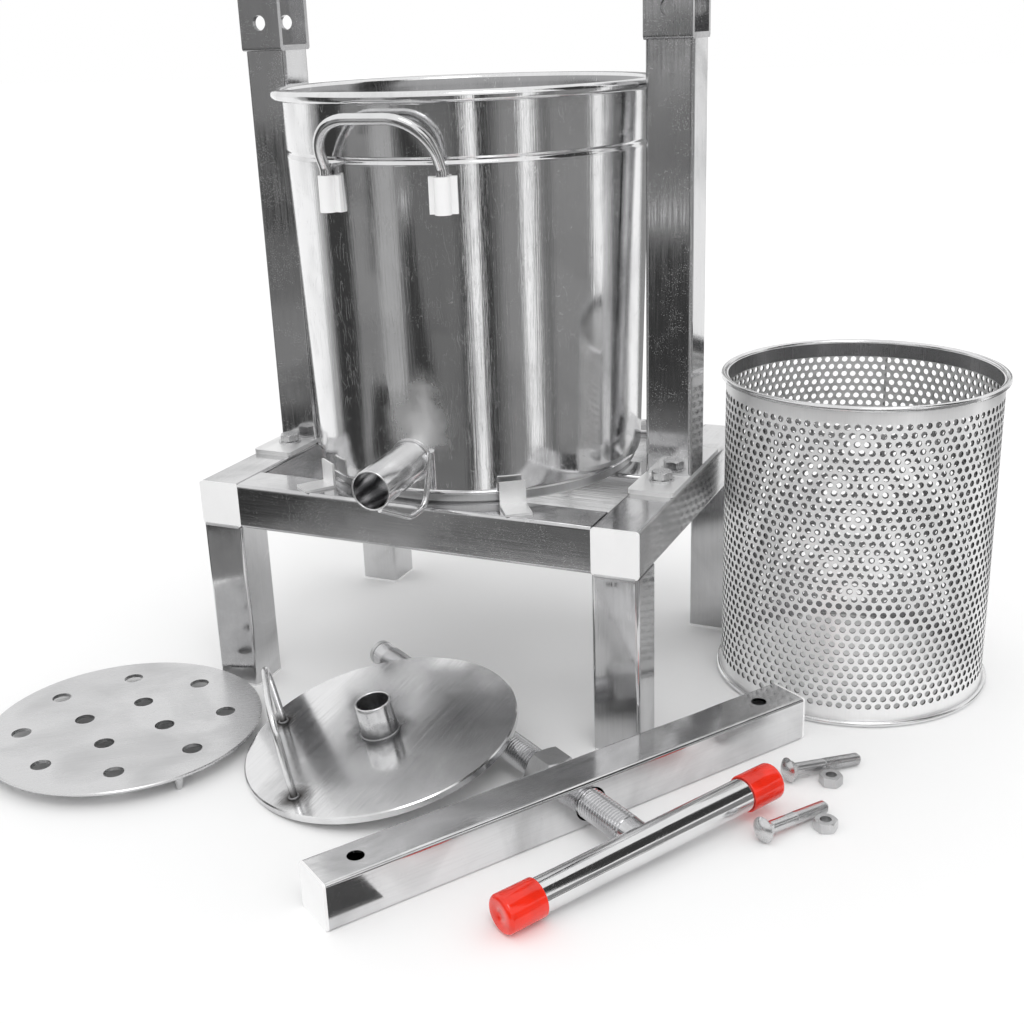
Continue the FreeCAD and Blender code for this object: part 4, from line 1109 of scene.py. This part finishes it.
def make_cards():
    s = settings("press_stage")
    base = settings("press_colours").card
    papers = {name: paper(name + "_card", [part * value for value in base]) for name, part in SHADES.items()}
    for i, (start, end, shade) in enumerate(WEDGES):
        wedge("floor_card_" + str(i), start, end, papers[shade])
    low = 2 * s.card_lift
    far = s.card_far - 0.25
    seen = {"left_upright": (((0.95, low), (1.75, low), "light"), ((1.75, low), (2.9, low), "grey"),
                             ((2.9, low), (far, low), "dark"), ((far, low), (far, 0.22), "dark"),
                             ((far, 0.22), (far, 0.62), "light")),
            "right_upright": (((0.8, low), (2.65, low), "dark"), ((2.95, low), (3.25, low), "white"),
                              ((3.25, low), (far, low), "light"), ((far, low), (far, 0.3), "light"),
                              ((far, 0.3), (far, 0.44), "pale"), ((far, 0.44), (far, 0.9), "white"))}
    for node, parts in seen.items():
        face = Vector((middle_of(node).x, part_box(node)[0].y, 0))
        for i, (start, end, shade) in enumerate(parts):
            strip(node + "_strip_" + str(i), face, 0.26, (start, end), papers[shade])
    rail = Vector((middle_of("front_cross_rail").x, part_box("front_cross_rail")[0].y, 0))
    parts = ((-0.14, 0.27, "dark"), (0.0, 0.24, "light"), (0.13, 0.24, "grey"))
    for i, (shift, wide, shade) in enumerate(parts):
        strip("rail_strip_" + str(i), rail + ACROSS * shift, wide, ((0.45, 1.5 * low), (0.79, 1.5 * low)),
              papers[shade])
    half = (middle_of("cross_beam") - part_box("cross_beam")[0]).length
    flat_card("beam_strip", beam_place() @ Matrix.Translation((-0.86 * half, -0.075, low)), 0.27 * half, 0.09,
              papers["deep"])
    facing_card("right_card", (1.7, 0.3, 1.5), 1.1, 1.5, papers["dark"])
    facing_card("back_card", (-0.95, 2.2, 1.15), 0.8, 1.7, papers["pale"])


def make_floor():
    bm = bmesh.new()
    bmesh.ops.create_grid(bm, x_segments=4, y_segments=4, size=settings("press_stage").floor_size)
    linked("floor", bm, paper("floor_paper", settings("press_colours").floor))


def make_light():
    s = settings("press_stage")
    world = bpy.data.worlds.new("white_studio")
    world.use_nodes = True
    world.node_tree.nodes["Background"].inputs["Color"].default_value = (1, 1, 1, 1)
    world.node_tree.nodes["Background"].inputs["Strength"].default_value = 1.0
    bpy.context.scene.world = world
    lamp = bpy.data.lights.new("soft_lamp", "SUN")
    lamp.energy = s.sun
    lamp.angle = s.sun_angle
    sun = bpy.data.objects.new("soft_lamp", lamp)
    sun.rotation_euler = Vector((-0.35, 0.45, -1.0)).to_track_quat("-Z", "Y").to_euler()
    bpy.context.scene.collection.objects.link(sun)


def make_camera():
    """The photo's camera, from its place, yaw, pitch and roll"""
    s = settings("press_stage")
    level = math.cos(s.pitch)
    ahead = Vector((math.sin(s.yaw) * level, math.cos(s.yaw) * level, -math.sin(s.pitch)))
    right = Vector((math.cos(s.yaw), -math.sin(s.yaw), 0))
    down = ahead.cross(right)
    image_x = math.cos(s.roll) * right + math.sin(s.roll) * down
    image_y = math.cos(s.roll) * down - math.sin(s.roll) * right
    data = bpy.data.cameras.new("camera")
    data.lens = s.lens
    data.sensor_width = 36
    data.clip_end = 60
    camera = bpy.data.objects.new("camera", data)
    turned_axes = Matrix((image_x, -image_y, -ahead)).transposed().to_4x4()
    camera.matrix_world = Matrix.Translation((s.camera_x, s.camera_y, s.camera_z)) @ turned_axes
    bpy.context.scene.collection.objects.link(camera)
    bpy.context.scene.camera = camera
    bpy.context.scene.view_settings.view_transform = "Standard"


# Operators and panel

class PressPot(bpy.types.Operator):
    """Pot body, spout, brace wire and handles"""
    bl_idname = "press.pot"
    bl_label = "Pot"

    def execute(self, context):
        make_pot_body()
        make_spout()
        make_brace_wire()
        make_pot_handles()
        return {"FINISHED"}


class PressBasket(bpy.types.Operator):
    """Perforated basket with its bands and rims"""
    bl_idname = "press.basket"
    bl_label = "Basket"

    def execute(self, context):
        make_basket_shell()
        return {"FINISHED"}


class PressPlate(bpy.types.Operator):
    """Press plate with its hub and lifting loop"""
    bl_idname = "press.plate"
    bl_label = "Press plate"

    def execute(self, context):
        make_press_plate()
        return {"FINISHED"}


class PressScrew(bpy.types.Operator):
    """Threaded screw, handle with its caps, and the loose bolts"""
    bl_idname = "press.screw"
    bl_label = "Screw, handle and bolts"

    def execute(self, context):
        make_screw()
        make_handle()
        make_bolts()
        return {"FINISHED"}


class PressStand(bpy.types.Operator):
    """Finishes and welds of the stand, beam and plates"""
    bl_idname = "press.stand"
    bl_label = "Stand and beam"

    def execute(self, context):
        make_stand()
        return {"FINISHED"}


class PressStage(bpy.types.Operator):
    """Floor, cards, light and camera"""
    bl_idname = "press.stage"
    bl_label = "Stage"

    def execute(self, context):
        make_floor()
        make_cards()
        make_light()
        make_camera()
        return {"FINISHED"}


OPERATORS = (PressPot, PressBasket, PressPlate, PressScrew, PressStand, PressStage)


class PressPanel(bpy.types.Panel):
    """Buttons for the pieces and the stage"""
    bl_idname = "VIEW3D_PT_fruit_press"
    bl_label = "Manual fruit press"
    bl_space_type = "VIEW_3D"
    bl_region_type = "UI"
    bl_category = "Fruit press"

    def draw(self, context):
        for operator in OPERATORS:
            self.layout.operator(operator.bl_idname)


def register():
    for group in GROUPS.values():
        bpy.utils.register_class(group)
    for name, group in GROUPS.items():
        setattr(bpy.types.Scene, name, bpy.props.PointerProperty(type=group))
    for item in OPERATORS + (PressPanel,):
        bpy.utils.register_class(item)


def unregister():
    for item in reversed(OPERATORS + (PressPanel,)):
        bpy.utils.unregister_class(item)
    for name, group in GROUPS.items():
        delattr(bpy.types.Scene, name)
        bpy.utils.unregister_class(group)


def main():
    register()
    for step in ("pot", "basket", "plate", "screw", "stand", "stage"):
        getattr(bpy.ops.press, step)()


if __name__ == "__main__":
    main()
